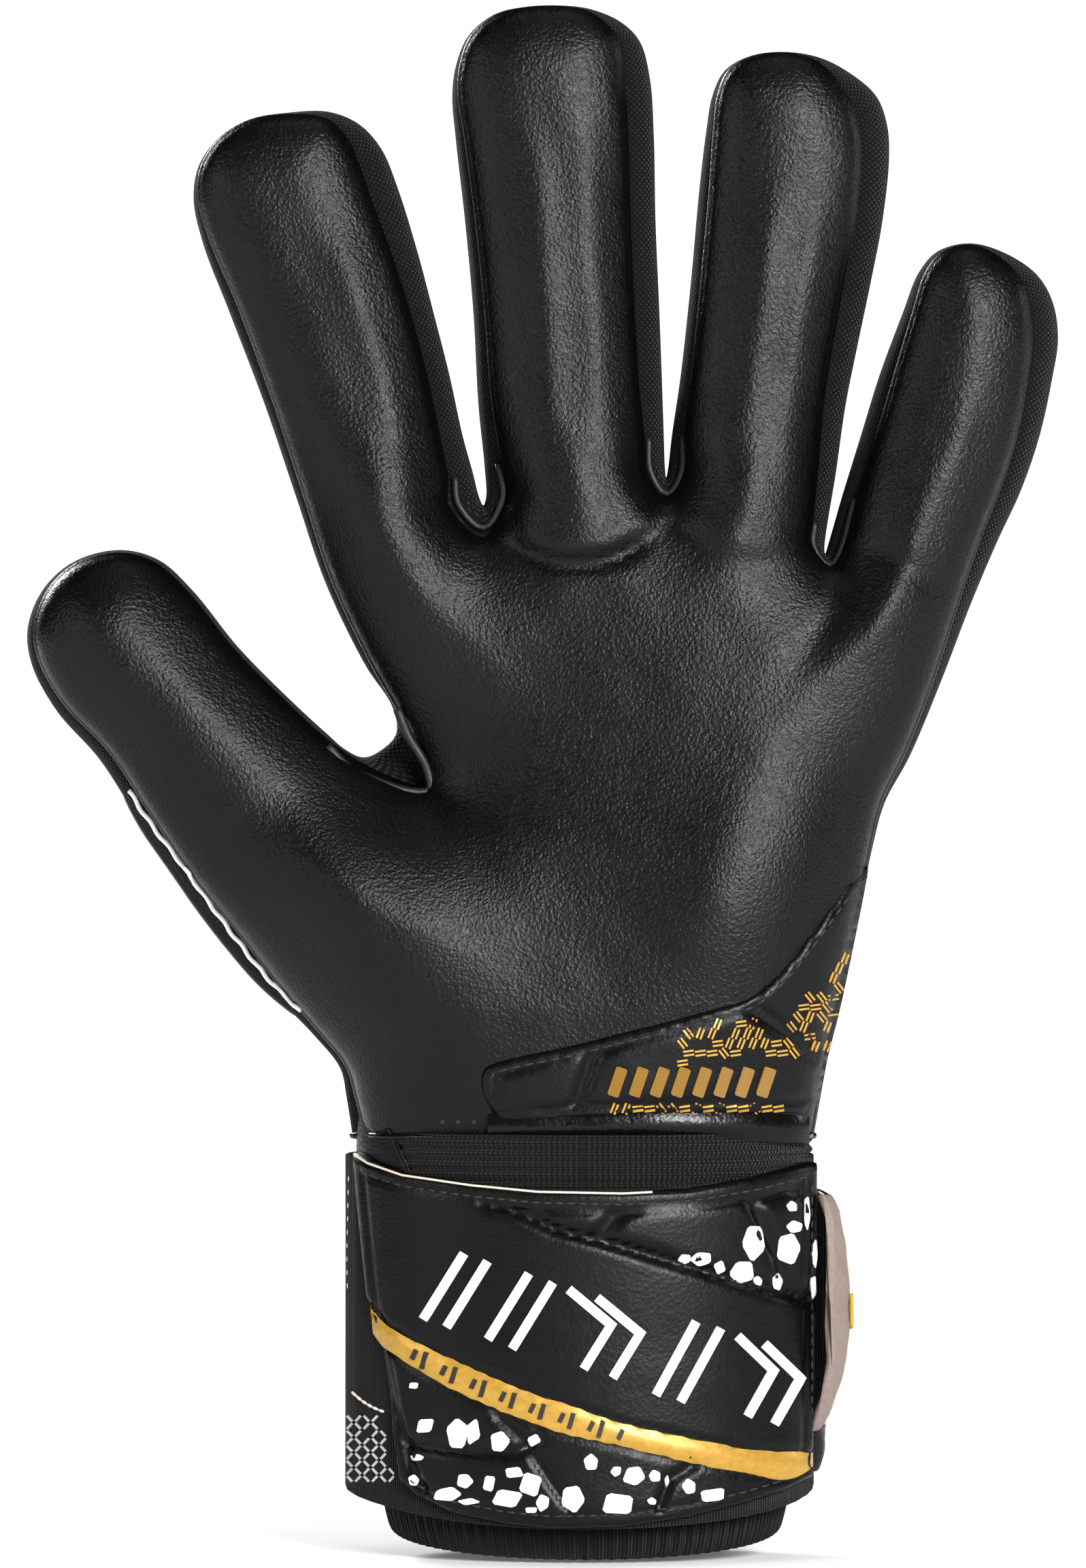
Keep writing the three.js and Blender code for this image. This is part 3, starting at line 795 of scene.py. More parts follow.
def gusset():
    n = len(edge_s)
    out_l, out_b = -normals_2d(edge_l), -normals_2d(edge_b)
    start = edge_l - out_l * 1.1
    stop = edge_b - out_b * 0.3
    y0 = palm_edge_y + 3.0
    y1 = back_edge_y - 1.2
    mid = y0 * 0.45 + y1 * 0.55
    arc = np.concatenate([[0], np.cumsum(np.linalg.norm(np.diff(edge_s, axis=0), axis=1))])
    verts, uv = [], []
    for r in range(ROWS + 1):
        phi = math.pi * r / ROWS
        grow = math.sin(phi) ** 0.85
        if phi <= math.pi / 2:
            xz = start + (edge_s - start) * grow
            y = mid - (mid - y0) * math.cos(phi)
        else:
            xz = stop + (edge_s - stop) * grow
            y = mid - (y1 - mid) * math.cos(phi)
        verts.append(np.stack([xz[:, 0], y, xz[:, 1]], 1))
        uv.append(np.stack([arc, np.full(n, r * 1.4)], 1))
    return np.array(verts), np.array(uv)


def gusset_nodes(region):
    if region == "hand":
        return (
            "gusset_thumb_outer",
            "gusset_thumb_web",
            "gusset_little_outer",
            "fourchette_index_middle",
            "fourchette_middle_ring",
            "fourchette_ring_little",
        )
    name, part = region.rsplit("_", 1)
    if part == "knuckle":
        return (f"{name}_gusset_thumb_side", f"{name}_gusset_little_side")
    return (f"{name}_gusset_tip",)


gusset_rows, gusset_uv = gusset()
count = len(edge_s)
gusset_faces = [
    (r * count + i, r * count + i + 1, (r + 1) * count + i + 1, (r + 1) * count + i)
    for r in range(ROWS)
    for i in range(count - 1)
]
gusset_pieces = split_regions(
    "gusset", gusset_rows.reshape(-1, 3), gusset_faces, gusset_uv.reshape(-1, 2),
    np.tile(edge_s, (ROWS + 1, 1)), MESH, gusset_nodes,
)
across = np.linalg.norm(np.diff(gusset_rows, axis=0), axis=2).sum(0)  # the strip's width at each place, mm
column_region = region_of(edge_s[:, 0], edge_s[:, 1])

# ---- Laying small things on a surface, as the camera sees it ----


def draped(tree, x, z, lift, behind=False):
    """The point of a surface behind x, z of the picture plane, lifted off it by so many mm."""
    if behind:
        origin, direction = Vector((x, 300, z)), Vector((0, -1, 0))
    else:
        origin = Vector((VIEW_CENTRE[0], -DISTANCE, VIEW_CENTRE[1]))
        direction = (Vector((x, 0, z)) - origin).normalized()
    hit, normal, _, _ = tree.ray_cast(origin, direction)
    if hit is None:
        return None
    if normal.dot(direction) > 0:
        normal = -normal
    return np.array(hit + normal * lift)


class Gathered:
    """Many small shapes gathered into one piece."""

    def __init__(self):
        self.verts, self.faces, self.uv = [], [], []

    def add(self, verts, faces, uv):
        base = len(self.verts)
        self.verts += [tuple(v) for v in verts]
        self.uv += [tuple(v) for v in uv]
        self.faces += [tuple(i + base for i in f) for f in faces]

    def patch(self, outline, tree, lift=0.22, skirt=0.4, spacing=1.4, behind=False):
        """A thin raised patch over a closed outline."""
        outline = np.asarray(outline, float)
        points, faces = fill(outline, spacing)
        if len(points) < 3:
            return
        top = [draped(tree, x, z, lift, behind) for x, z in points]
        low = [draped(tree, x, z, lift - skirt, behind) for x, z in points[: len(outline)]]
        if any(p is None for p in top + low):
            return
        n, m = len(outline), len(points)
        area = sum(float(np.cross(points[f[1]] - points[f[0]], points[f[2]] - points[f[0]])) for f in faces)
        turned = (area > 0) == behind
        order = sum(outline[i - 1][0] * outline[i][1] - outline[i][0] * outline[i - 1][1] for i in range(n)) > 0
        faces = [tuple(reversed(f)) if turned else tuple(f) for f in faces]
        for i in range(n):
            j = (i + 1) % n
            quad = (m + i, m + n + i, m + n + j, m + j)
            faces.append(quad if order != behind else tuple(reversed(quad)))
        self.add(top + top[:n] + low, faces, np.vstack([points, outline, outline]))

    def capsule(self, a, b, radius, up, sides=6):
        """A stitch from a to b."""
        a, b = np.asarray(a), np.asarray(b)
        t = (b - a) / max(np.linalg.norm(b - a), 1e-6)
        side = np.cross(t, up)
        side /= max(np.linalg.norm(side), 1e-6)
        top = np.cross(side, t)
        verts, faces = [a - t * radius * 0.6], []
        for centre, r in ((a, radius * 0.75), ((a + b) / 2, radius), (b, radius * 0.75)):
            for k in range(sides):
                angle = math.tau * k / sides
                verts.append(centre + r * (math.cos(angle) * side + math.sin(angle) * top))
        verts.append(b + t * radius * 0.6)
        last = len(verts) - 1
        for k in range(sides):
            m = (k + 1) % sides
            faces.append((0, 1 + m, 1 + k))
            for ring in (0, 1):
                p, q = 1 + ring * sides, 1 + (ring + 1) * sides
                faces.append((p + k, p + m, q + m, q + k))
            faces.append((last, 1 + 2 * sides + k, 1 + 2 * sides + m))
        self.add(verts, faces, [(v[0], v[2]) for v in verts])

    def stitches(self, line, tree, pitch=2.4, length=1.6, radius=0.24, lift=0.08, behind=False):
        """A row of stitches along a line of the picture plane."""
        line = np.asarray(line, float)
        s = np.concatenate([[0], np.cumsum(np.linalg.norm(np.diff(line, axis=0), axis=1))])
        for start in np.arange(0.4, s[-1] - length, pitch):
            ends = [(np.interp(v, s, line[:, 0]), np.interp(v, s, line[:, 1])) for v in (start, start + length)]
            a, b = (draped(tree, x, z, lift, behind) for x, z in ends)
            if a is not None and b is not None and np.linalg.norm(a - b) < 3 * length:
                self.capsule(a, b, radius, np.array([0.0, -1.0, 0.0]))

    def build(self, name, material, body):
        if not self.faces:
            raise ValueError(f"{name} came out empty")
        obj = new_mesh(name, self.verts, self.faces, self.uv)
        obj.data.materials.append(material)
        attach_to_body(obj, body)
        return obj


def stroke(line, width):
    """The outline of a line drawn with a flat pen."""
    p = np.asarray(line, float)
    n = -normals_2d(p)
    for i in range(1, len(p) - 1):
        a = p[i] - p[i - 1]
        b = p[i + 1] - p[i]
        turn = math.atan2(a[0] * b[1] - a[1] * b[0], a @ b)
        n[i] /= max(math.cos(turn / 2), 0.35)
    return np.vstack([p + n * width / 2, (p - n * width / 2)[::-1]])


# ---- Heel patch ----

PATCH = [
    (-18.8, 86.6), (-18.6, 88.1), (-17.7, 89.4), (-15.2, 90.3), (-9.8, 91.5), (-1.2, 93.3), (4.9, 94.9),
    (17.1, 97.9), (23.2, 99.7), (28.1, 101.0), (30.8, 102.5), (35.4, 106.8), (41.5, 114.7), (46.4, 121.4),
    (49.7, 125.0), (50.8, 125.3), (50.3, 122.0), (49.1, 115.9), (47.6, 108.6), (45.8, 100.0), (43.9, 92.7),
    (42.6, 87.2), (41.5, 80.8), (32.3, 80.7), (17.1, 80.7), (4.9, 80.2), (-4.3, 79.6), (-9.8, 79.3), (-14.6, 78.7),
    (-15.7, 79.2), (-17.1, 81.7), (-18.4, 84.2),
]
PATCH_CELLS = [
    [
        (-16.3, 86.6), (-15.9, 87.7), (-14.6, 88.3), (-7.3, 90.3), (-0.3, 92.0), (0.5, 91.5), (-0.7, 87.2),
        (-2.3, 82.7), (-3.0, 82.0), (-14.6, 80.6), (-15.6, 81.0), (-16.3, 83.9),
    ],
    [
        (3.0, 92.7), (17.1, 96.0), (27.8, 99.3), (28.8, 99.3), (36.6, 94.4), (41.0, 90.5), (41.5, 89.1),
        (41.2, 85.4), (40.3, 83.4), (34.8, 83.0), (0.0, 82.0), (-1.0, 82.7), (1.3, 89.4),
    ],
    [
        (31.0, 101.1), (35.4, 105.0), (41.5, 113.0), (46.8, 119.7), (48.1, 120.0), (47.7, 114.7), (45.9, 106.1),
        (44.0, 98.8), (42.6, 92.5), (41.8, 92.4), (36.6, 95.9), (31.1, 100.2),
    ],
]


def cell_height(cells, x, z, rise, softness):
    total = np.zeros(len(x))
    for cell in cells:
        ring = rounded(cell, 2)
        inside = inside_polygon(ring, x, z)
        d = distance_to(closed(ring), x, z)
        total += np.where(inside, rise * (1 - np.exp(-d / softness)), 0)
    return total


def heel_patch():
    outline = denser(rounded(PATCH, 1), 0.9)
    points, faces = fill(outline, 0.85)
    x, z = points[:, 0], points[:, 1]
    d = distance_to(closed(outline), x, z)
    rim = np.sqrt(np.clip(1 - (1 - np.clip(d / 1.3, 0, 1)) ** 2, 0, 1))
    h = 0.1 + 0.95 * rim - 0.75 * smoothstep(1.5, 2.3, d)
    h += cell_height(PATCH_CELLS, x, z, 1.35, 0.6)
    y = front_y(x, z, np.maximum(distance_to(edge_l, x, z), 0) * inside_polygon(edge_l, x, z)) - h
    scale = (DISTANCE + y) / DISTANCE
    place = lambda v, c: c + (v - c) * scale
    verts = np.stack([place(x, VIEW_CENTRE[0]), y, place(z, VIEW_CENTRE[1])], 1)
    n = len(outline)
    low = verts[:n] + [0, 1.6, 0]
    base = len(verts)
    faces = [tuple(f) for f in faces]
    order = sum(outline[i - 1][0] * outline[i][1] - outline[i][0] * outline[i - 1][1] for i in range(n)) > 0
    for i in range(n):
        j = (i + 1) % n
        quad = (i, base + i, base + j, j)
        faces.append(quad if order else tuple(reversed(quad)))
    uv = np.vstack([points, outline])
    return np.vstack([verts, low]), faces, uv


patch_v, patch_f, patch_uv = heel_patch()
patch = new_mesh("heel_patch_embossed", patch_v, patch_f, patch_uv)
patch.data.materials.append(LEATHER)
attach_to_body(patch, "hand")
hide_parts("palm_heel_patch")

front_tree = BVHTree.FromPolygons(
    np.vstack([palm_v, patch_v]).tolist(), palm_f + [tuple(i + len(palm_v) for i in f) for f in patch_f]
)

DASH_AREAS = [
    [(14.3, 93.9), (18.9, 96.7), (28.1, 97.6), (32.9, 97.0), (40.3, 90.9), (32.3, 90.6), (25.0, 90.3), (17.1, 89.7)],
    [
        (36.0, 96.4), (38.1, 101.3), (41.5, 103.7), (44.2, 106.1), (46.4, 111.0), (48.3, 115.3), (47.6, 108.6),
        (45.4, 100.0), (43.6, 92.7), (41.5, 92.7),
    ],
    [(2.1, 83.1), (34.8, 83.4), (34.8, 81.8), (2.1, 81.5)],
]
BARS = [
    [(4.9, 84.1), (6.6, 89.1)], [(8.7, 84.1), (10.4, 89.1)], [(12.4, 84.1), (14.2, 89.1)],
    [(16.2, 84.1), (17.9, 89.1)], [(20.0, 84.1), (21.7, 89.1)], [(23.8, 84.1), (25.5, 89.1)],
    [(27.6, 84.1), (29.3, 89.1)], [(31.4, 84.1), (33.1, 89.1)],
]

dashes = Gathered()
for area in DASH_AREAS:
    area = np.array(area)
    row = 0
    for z in np.arange(area[:, 1].min() + 0.3, area[:, 1].max(), 1.75):
        row += 1
        for x in np.arange(area[:, 0].min() + (row % 2) * 1.0, area[:, 0].max(), 2.1):
            turn = math.radians(rng.choice((8, 68, 128)))
            if not inside_polygon(area, np.array([x]), np.array([z]))[0] or rng.random() < 0.12:
                continue
            d = np.array([math.cos(turn), math.sin(turn)])
            across = np.array([-d[1], d[0]])
            for k in (-0.36, 0.36):
                mid = np.array([x, z]) + across * k
                dashes.patch(stroke([mid - d * 0.95, mid + d * 0.95], 0.34), front_tree, 0.14, 0.3)
dashes.build("heel_patch_gold_dashes", GOLD, "hand")

bars = Gathered()
for line in BARS:
    bars.patch(rounded(denser(stroke(line, 2.1), 0.9), 1), front_tree, 0.42, 0.6, 0.9)
bars.build("heel_patch_gold_bars", GOLD_THREAD, "hand")

seam = Gathered()
inner = np.array(PATCH[:15])
inner = curve(inner, 1.0)
inner = inner - normals_2d(inner) * -1.7
seam.stitches(inner, front_tree, lift=-0.05)
seam.build("heel_patch_stitches", THREAD, "hand")

# ---- Bottom of the palm, and the wrist ----

ROUNDNESS = 16.0


def wrist_point(a, degrees, z):
    p = math.radians(degrees)
    return (a * math.sin(p), -(a - ROUNDNESS) * math.cos(p), z)


def to_picture(x, y, z):
    k = DISTANCE / (DISTANCE + y)
    return VIEW_CENTRE[0] + (x - VIEW_CENTRE[0]) * k, VIEW_CENTRE[1] + (z - VIEW_CENTRE[1]) * k


def from_picture(value, y, axis):
    return VIEW_CENTRE[axis] + (value - VIEW_CENTRE[axis]) * (DISTANCE + y) / DISTANCE


def grid(name, rows, uv, material, closed_round=False):
    """A surface from rows of points, each row the same length."""
    rows, uv = np.asarray(rows, float), np.asarray(uv, float)
    m, n = rows.shape[:2]
    faces = []
    for r in range(m - 1):
        for i in range(n if closed_round else n - 1):
            j = (i + 1) % n
            faces.append((r * n + i, r * n + j, (r + 1) * n + j, (r + 1) * n + i))
    obj = new_mesh(name, rows.reshape(-1, 3), faces, uv.reshape(-1, 2))
    obj.data.materials.append(material)
    return obj, rows.reshape(-1, 3), faces


def solid_strip(name, outer, uv, depth, material):
    """A flat strap from its outer surface, closed by its edges and its inner surface.

    depth is in mm, towards the wrist."""
    outer, uv = np.asarray(outer, float), np.asarray(uv, float)
    out = outer.copy()
    out[..., 2] = 0
    inner = outer - out / np.maximum(np.linalg.norm(out, axis=2)[..., None], 1e-6) * depth
    inner[..., 2] = outer[..., 2]
    keep = sorted({*range(0, len(outer), 5), len(outer) - 1}, reverse=True)
    up = np.array([0, 0, 0.25])
    rows = list(outer)
    rows += [outer[-1] * (1 - k) + inner[-1] * k + up for k in (0.3, 0.7)]
    rows += [inner[k] for k in keep]
    rows += [outer[0] * (1 - k) + inner[0] * k - up for k in (0.7, 0.3)]
    table = list(uv) + [uv[-1]] * 2 + [uv[k] for k in keep] + [uv[0]] * 2
    m, n = len(rows), outer.shape[1]
    faces = []
    for r in range(m):
        q = (r + 1) % m
        faces += [(r * n + i, r * n + i + 1, q * n + i + 1, q * n + i) for i in range(n - 1)]
    faces.append(tuple(r * n for r in range(m)))
    faces.append(tuple(r * n + n - 1 for r in reversed(range(m))))
    verts = np.array(rows).reshape(-1, 3)
    obj = new_mesh(name, verts, faces, np.array(table).reshape(-1, 2))
    obj.data.materials.append(material)
    return obj, verts, faces


def heights_across(height, edge, xs, z):
    inside = [min(x - edge[0][0], edge[-1][0] - x) for x in xs]
    return [(x, float(height(np.array([x]), np.array([z]), np.array([d]))[0]), z) for x, d in zip(xs, inside)]


def section_ring():
    """The outline of the palm and back at their bottom edge, from the thumb side round the front."""
    xs = np.linspace(edge_l[-1][0], edge_l[0][0], 60)
    z = edge_l[0][1]
    front = heights_across(front_y, edge_l, xs[::-1], z)
    right = [tuple(p) for p in gusset_rows[:, -1]]
    xb = np.linspace(edge_b[-1][0], edge_b[0][0], 60)
    back = heights_across(back_y, edge_b, xb, z)
    left = [tuple(p) for p in gusset_rows[::-1, 0]]
    return np.array(front + right[1:-1] + back + left[1:-1])


hem_line = section_ring()
hem = tube("palm_bottom_piping", hem_line + [0, 0, -0.1], 0.6, GLOSSY, 8, True)
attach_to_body(hem, "hand")

angles = [math.degrees(math.atan2(p[0], -p[1] * (38.0 / 22.0))) for p in hem_line]
seat_rows = []
for k in (0.0, 0.5, 1.0):
    inner = [np.array(wrist_point(37.0, a, 76.0)) for a in angles]
    seat_rows.append([np.array(p) * (1 - k) + q * k - [0, 0, 0.6] for p, q in zip(hem_line, inner)])
seat, _, _ = grid("wrist_seam_knit", seat_rows, [[(a * 0.6, k * 2.0) for a in angles] for k in range(3)], KNIT, True)
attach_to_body(seat, "hand")


def shirr(deg, z):
    return 0.34 * math.sin(z * math.tau / 1.9) + 0.12 * math.sin(deg * 1.7 + z * 3.0) + 0.08 * math.sin(deg * 4.3)


elastic_z, elastic_degs = np.linspace(62, 78, 54), np.arange(0, 360, 1.5)
elastic_rows = [
    [wrist_point(np.interp(z, [62, 72, 78], [39.6, 40.4, 40.4]) + shirr(d, z), d, z) for d in elastic_degs]
    for z in elastic_z
]
elastic_uv = [[(d * KNIT_PER_DEGREE, z) for d in elastic_degs] for z in elastic_z]
elastic, _, _ = grid("wrist_elastic_knit", elastic_rows, elastic_uv, ELASTIC, True)
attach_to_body(elastic, "hand")
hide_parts("wrist_elastic")

# The glossy tape under the heel patch.
tape_rows, tape_uv = [], []
for k, z in enumerate(np.linspace(75.9, 81.0, 9)):
    row = []
    for x in np.linspace(-17.5, 40.2, 60):
        d = np.array([min(40.8 - x, x + 41.8)])
        y = float(front_y(np.array([x]), np.array([max(z, 77.0)]), d)[0])
        f = k / 8
        y -= 0.35 + 0.75 * math.sin(math.pi * f)
        row.append((from_picture(x, y, 0), y, from_picture(z + 0.25 * math.sin(x * 0.11), y, 1)))
    tape_rows.append(row)
    tape_uv.append([(x, z) for x in np.linspace(-17.5, 40.2, 60)])
tape, _, _ = grid("palm_heel_tape", tape_rows, tape_uv, GLOSSY)
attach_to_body(tape, "hand")
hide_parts("palm_heel_binding")

eyelets = Gathered()
for x in (-25.6, -22.8, -20.0):
    ring = [(x + 0.35 * math.cos(a), 79.4 + 0.35 * math.sin(a)) for a in np.linspace(0, math.tau, 9)[:-1]]
    eyelets.patch(ring, front_tree, 0.05, 0.2)
eyelets.build("palm_eyelets", INK, "hand")

# The grained panel on the thumb side of the wrist.
side_rows, side_uv = [], []
for z in np.linspace(64, 81.4, 16):
    limit = np.interp(z, [64, 70.5, 78.4, 81.4], [-45, -49, -58, -63])
    degs = np.linspace(-150, limit, 50)
    bulge = 0.9 * math.sin(math.pi * (z - 62) / 24)
    drop = lambda d: 4.5 * float(smoothstep(-105, -145, d)) * (z - 64) / 17.4
    side_rows.append([wrist_point(40.2 + bulge - 1.2 * smoothstep(-100, -150, d), d, z - drop(d)) for d in degs])
    side_uv.append([(d * PER_DEGREE, z) for d in degs])
side_panel, _, _ = solid_strip("wrist_side_panel_grain", side_rows, side_uv, 1.0, LEATHER)
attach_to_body(side_panel, "hand")
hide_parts("wrist_side_panel")

# ---- Cuff ----

CUFF = [
    (36.4, 62), (36.0, 40), (35.0, 22), (33.4, 12), (32.4, 6.0), (32.0, 2.6), (32.4, 0.9), (33.4, 0.2), (34.6, 0.9),
    (35.3, 2.8), (36.0, 6.0), (36.8, 10), (37.4, 14), (38.0, 20), (38.3, 30), (38.4, 46), (38.4, 62),
]
cuff_profile = curve(CUFF, 1.2)
cuff_rows, cuff_uv = [], []
for k, (a, z) in enumerate(cuff_profile):
    row, pair = [], []
    for d in np.arange(0, 360, 1.0):
        rib = 0.28 * math.cos(math.radians(d) * 90)
        x, y, _ = wrist_point(a + rib, d, z)
        lift = (6.0 + 0.22 * min(y, 0.0) - 0.1 * max(y, 0.0)) * (1 - float(smoothstep(12, 36, z)))
        row.append((x, y, z + lift))
        pair.append((d * 0.6, k * 1.2))
    cuff_rows.append(row)
    cuff_uv.append(pair)
cuff, _, _ = grid("wrist_cuff_knit", cuff_rows, cuff_uv, KNIT, True)
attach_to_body(cuff, "hand")
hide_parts("wrist_cuff")

# ---- Strap ----

STRAP_TOP = [
    (-42.4, 73.8), (-41.5, 73.5), (-39.0, 71.9), (-32.9, 69.8), (-20.7, 68.0), (-8.5, 66.8), (6.7, 66.5),
    (18.9, 67.1), (31.1, 69.2), (40.3, 71.7), (41.8, 72.0),
]
STRAP_BOTTOM = [
    (-33.2, 14.9), (-31.1, 12.8), (-24.4, 9.5), (-14.6, 7.6), (-6.1, 6.7), (6.7, 7.0), (18.9, 8.8), (28.1, 11.0),
    (36.0, 13.4), (41.2, 15.9),
]
STRAP_GROOVES = [
    [
        (-18.9, 65.0), (-12.2, 62.8), (-6.1, 60.1), (1.2, 58.3), (7.3, 56.6), (15.9, 54.0), (26.8, 50.9),
        (34.2, 48.8), (40.9, 47.3),
    ],
    [(-32.9, 22.0), (-26.8, 21.0), (-20.7, 20.1), (-12.2, 20.1), (-8.5, 22.7)],
    [(-15.9, 26.8), (-11.0, 22.0), (-6.1, 14.6), (-3.0, 10.4)],
    [(-37.8, 41.5), (-36.6, 36.6), (-35.1, 29.3), (-33.5, 23.8), (-32.0, 18.9), (-29.3, 13.4)],
    [(19.5, 17.7), (15.2, 15.2), (13.4, 10.4)],
]
STRAP_CELLS = [
    [(-9.0, 62.8), (-7.6, 63.7), (4.1, 63.7), (4.8, 63.1), (1.3, 59.3), (0.1, 58.9), (-6.1, 61.0)],
    [
        (8.1, 64.0), (22.0, 64.7), (29.0, 65.5), (30.3, 63.4), (33.9, 55.5), (36.2, 49.7), (26.8, 52.0),
        (15.9, 55.0), (4.4, 58.3), (3.8, 59.3),
    ],
    [(31.0, 65.1), (40.1, 67.1), (40.4, 57.3), (40.5, 48.2), (37.9, 48.9), (34.4, 56.6), (31.1, 63.7)],
]
STRIPE_TOP = [
    (-39.3, 47.1), (-36.0, 43.3), (-30.5, 40.0), (-20.7, 35.4), (-11.6, 31.4), (-2.4, 28.4), (6.7, 25.3),
    (18.9, 22.6), (31.1, 20.4), (41.2, 20.1),
]
STRIPE_BOTTOM = [
    (41.0, 17.7), (39.0, 16.2), (36.0, 15.1), (28.1, 16.5), (18.9, 18.3), (6.7, 21.2), (-2.4, 23.2), (-8.5, 25.0),
    (-17.7, 28.7), (-25.6, 32.3), (-31.1, 35.7), (-36.0, 39.0), (-37.9, 41.5),
]
STRAP_A = 42.9


def strap_z(x, f, inset=0.0):
    """Height on the picture plane, a share f of the way up the strap at x."""
    low = np.interp(x, *np.array(STRAP_BOTTOM).T)
    high = np.interp(x, *np.array(STRAP_TOP).T)
    return low + inset + (high - low - 2 * inset) * f


def strap_front():
    left = lambda f: np.interp(f, [0, 0.27, 0.44, 0.56, 1], [-33.4, -35.6, -37.4, -39.4, -42.2])
    right = lambda f: np.interp(f, [0, 1], [41.0, 41.9])
    fs = np.linspace(0, 1, 74)
    rows = []
    for f in fs:
        lo, hi = (math.degrees(math.asin(v / STRAP_A)) for v in (left(f), right(f)))
        degs = np.linspace(lo, hi, 150)
        row = []
        for d in degs:
            x, y, _ = wrist_point(STRAP_A, d, 0)
            px, _ = to_picture(x, y, 0)
            row.append((d, px, float(strap_z(px, f))))
        rows.append(row)
    table = np.array(rows)
    px, pz = table[..., 1].ravel(), table[..., 2].ravel()
    edge = np.vstack([table[0, :, 1:], table[:, -1, 1:], table[-1, ::-1, 1:], table[::-1, 0, 1:]])
    d = distance_to(edge, px, pz)
    h = 0.55 * (np.sqrt(np.clip(1 - (1 - np.clip(d / 1.2, 0, 1)) ** 2, 0, 1)) - 1)
    h -= 0.40 * np.exp(-(((d - 1.9) / 0.5) ** 2))
    for groove in STRAP_GROOVES:
        h -= 1.05 * np.exp(-((distance_to(np.array(groove), px, pz) / 0.85) ** 2))
    stripe = closed(np.vstack([STRIPE_TOP, STRIPE_BOTTOM]))
    h -= 0.55 * np.exp(-((distance_to(stripe, px, pz) / 0.5) ** 2))
    upper = pz > np.interp(px, *np.array(STRAP_GROOVES[0]).T)
    in_top = upper & (px > STRAP_GROOVES[0][0][0]) & (d > 2.4)
    h -= 0.95 * in_top * smoothstep(2.4, 3.2, d)
    h += cell_height(STRAP_CELLS, px, pz, 1.35, 0.6)
    h += 0.10 * wobble(px, pz, 16, 21)
    h = h.reshape(table.shape[:2])
    outer = np.zeros(table.shape[:2] + (3,))
    for i in range(table.shape[0]):
        for j in range(table.shape[1]):
            deg, _, z = table[i, j]
            x, y, _ = wrist_point(STRAP_A + h[i, j], deg, 0)
            outer[i, j] = (x, y, from_picture(z, y, 1))
    uv = table[..., :1] * PER_DEGREE
    return outer, np.concatenate([uv, table[..., 2:]], 2)


strap_outer, strap_uv = strap_front()
strap, strap_v, strap_f = solid_strip("strap_panel_embossed", strap_outer, strap_uv, 1.9, LEATHER)
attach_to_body(strap, "hand")
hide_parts("strap_front_panel")


def webbing_a(deg, z):
    left = 2.1 * smoothstep(-56, -84, deg) * (1 - smoothstep(-128, -152, deg))
    right = 3.6 * smoothstep(76, 88, deg) * smoothstep(26, 38, z) * (1 - smoothstep(62, 69, z))
    return 40.9 + left + right


web_rows, web_uv = [], []
web_degs = np.linspace(-200, 91, 190)
for f in np.linspace(0, 1, 30):
    row, pair = [], []
    for deg in web_degs:
        drop = max(0.0, math.cos(math.radians(deg)))
        z = (14.6 - 6.0 * drop) + (59.0 + 0.5 * drop) * f
        x, y, _ = wrist_point(float(webbing_a(deg, z)) + 0.06 * math.sin(deg * 9), deg, 0)
        row.append((x, y, z))
        pair.append((deg * PER_DEGREE, z))
    web_rows.append(row)
    web_uv.append(pair)
webbing, web_v, web_f = solid_strip("strap_webbing_knit", web_rows, web_uv, 1.4, KNIT)
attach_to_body(webbing, "hand")
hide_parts("strap_webbing")

strap_tree = BVHTree.FromPolygons(
    np.vstack([strap_v, web_v]).tolist(), strap_f + [tuple(i + len(strap_v) for i in f) for f in web_f]
)

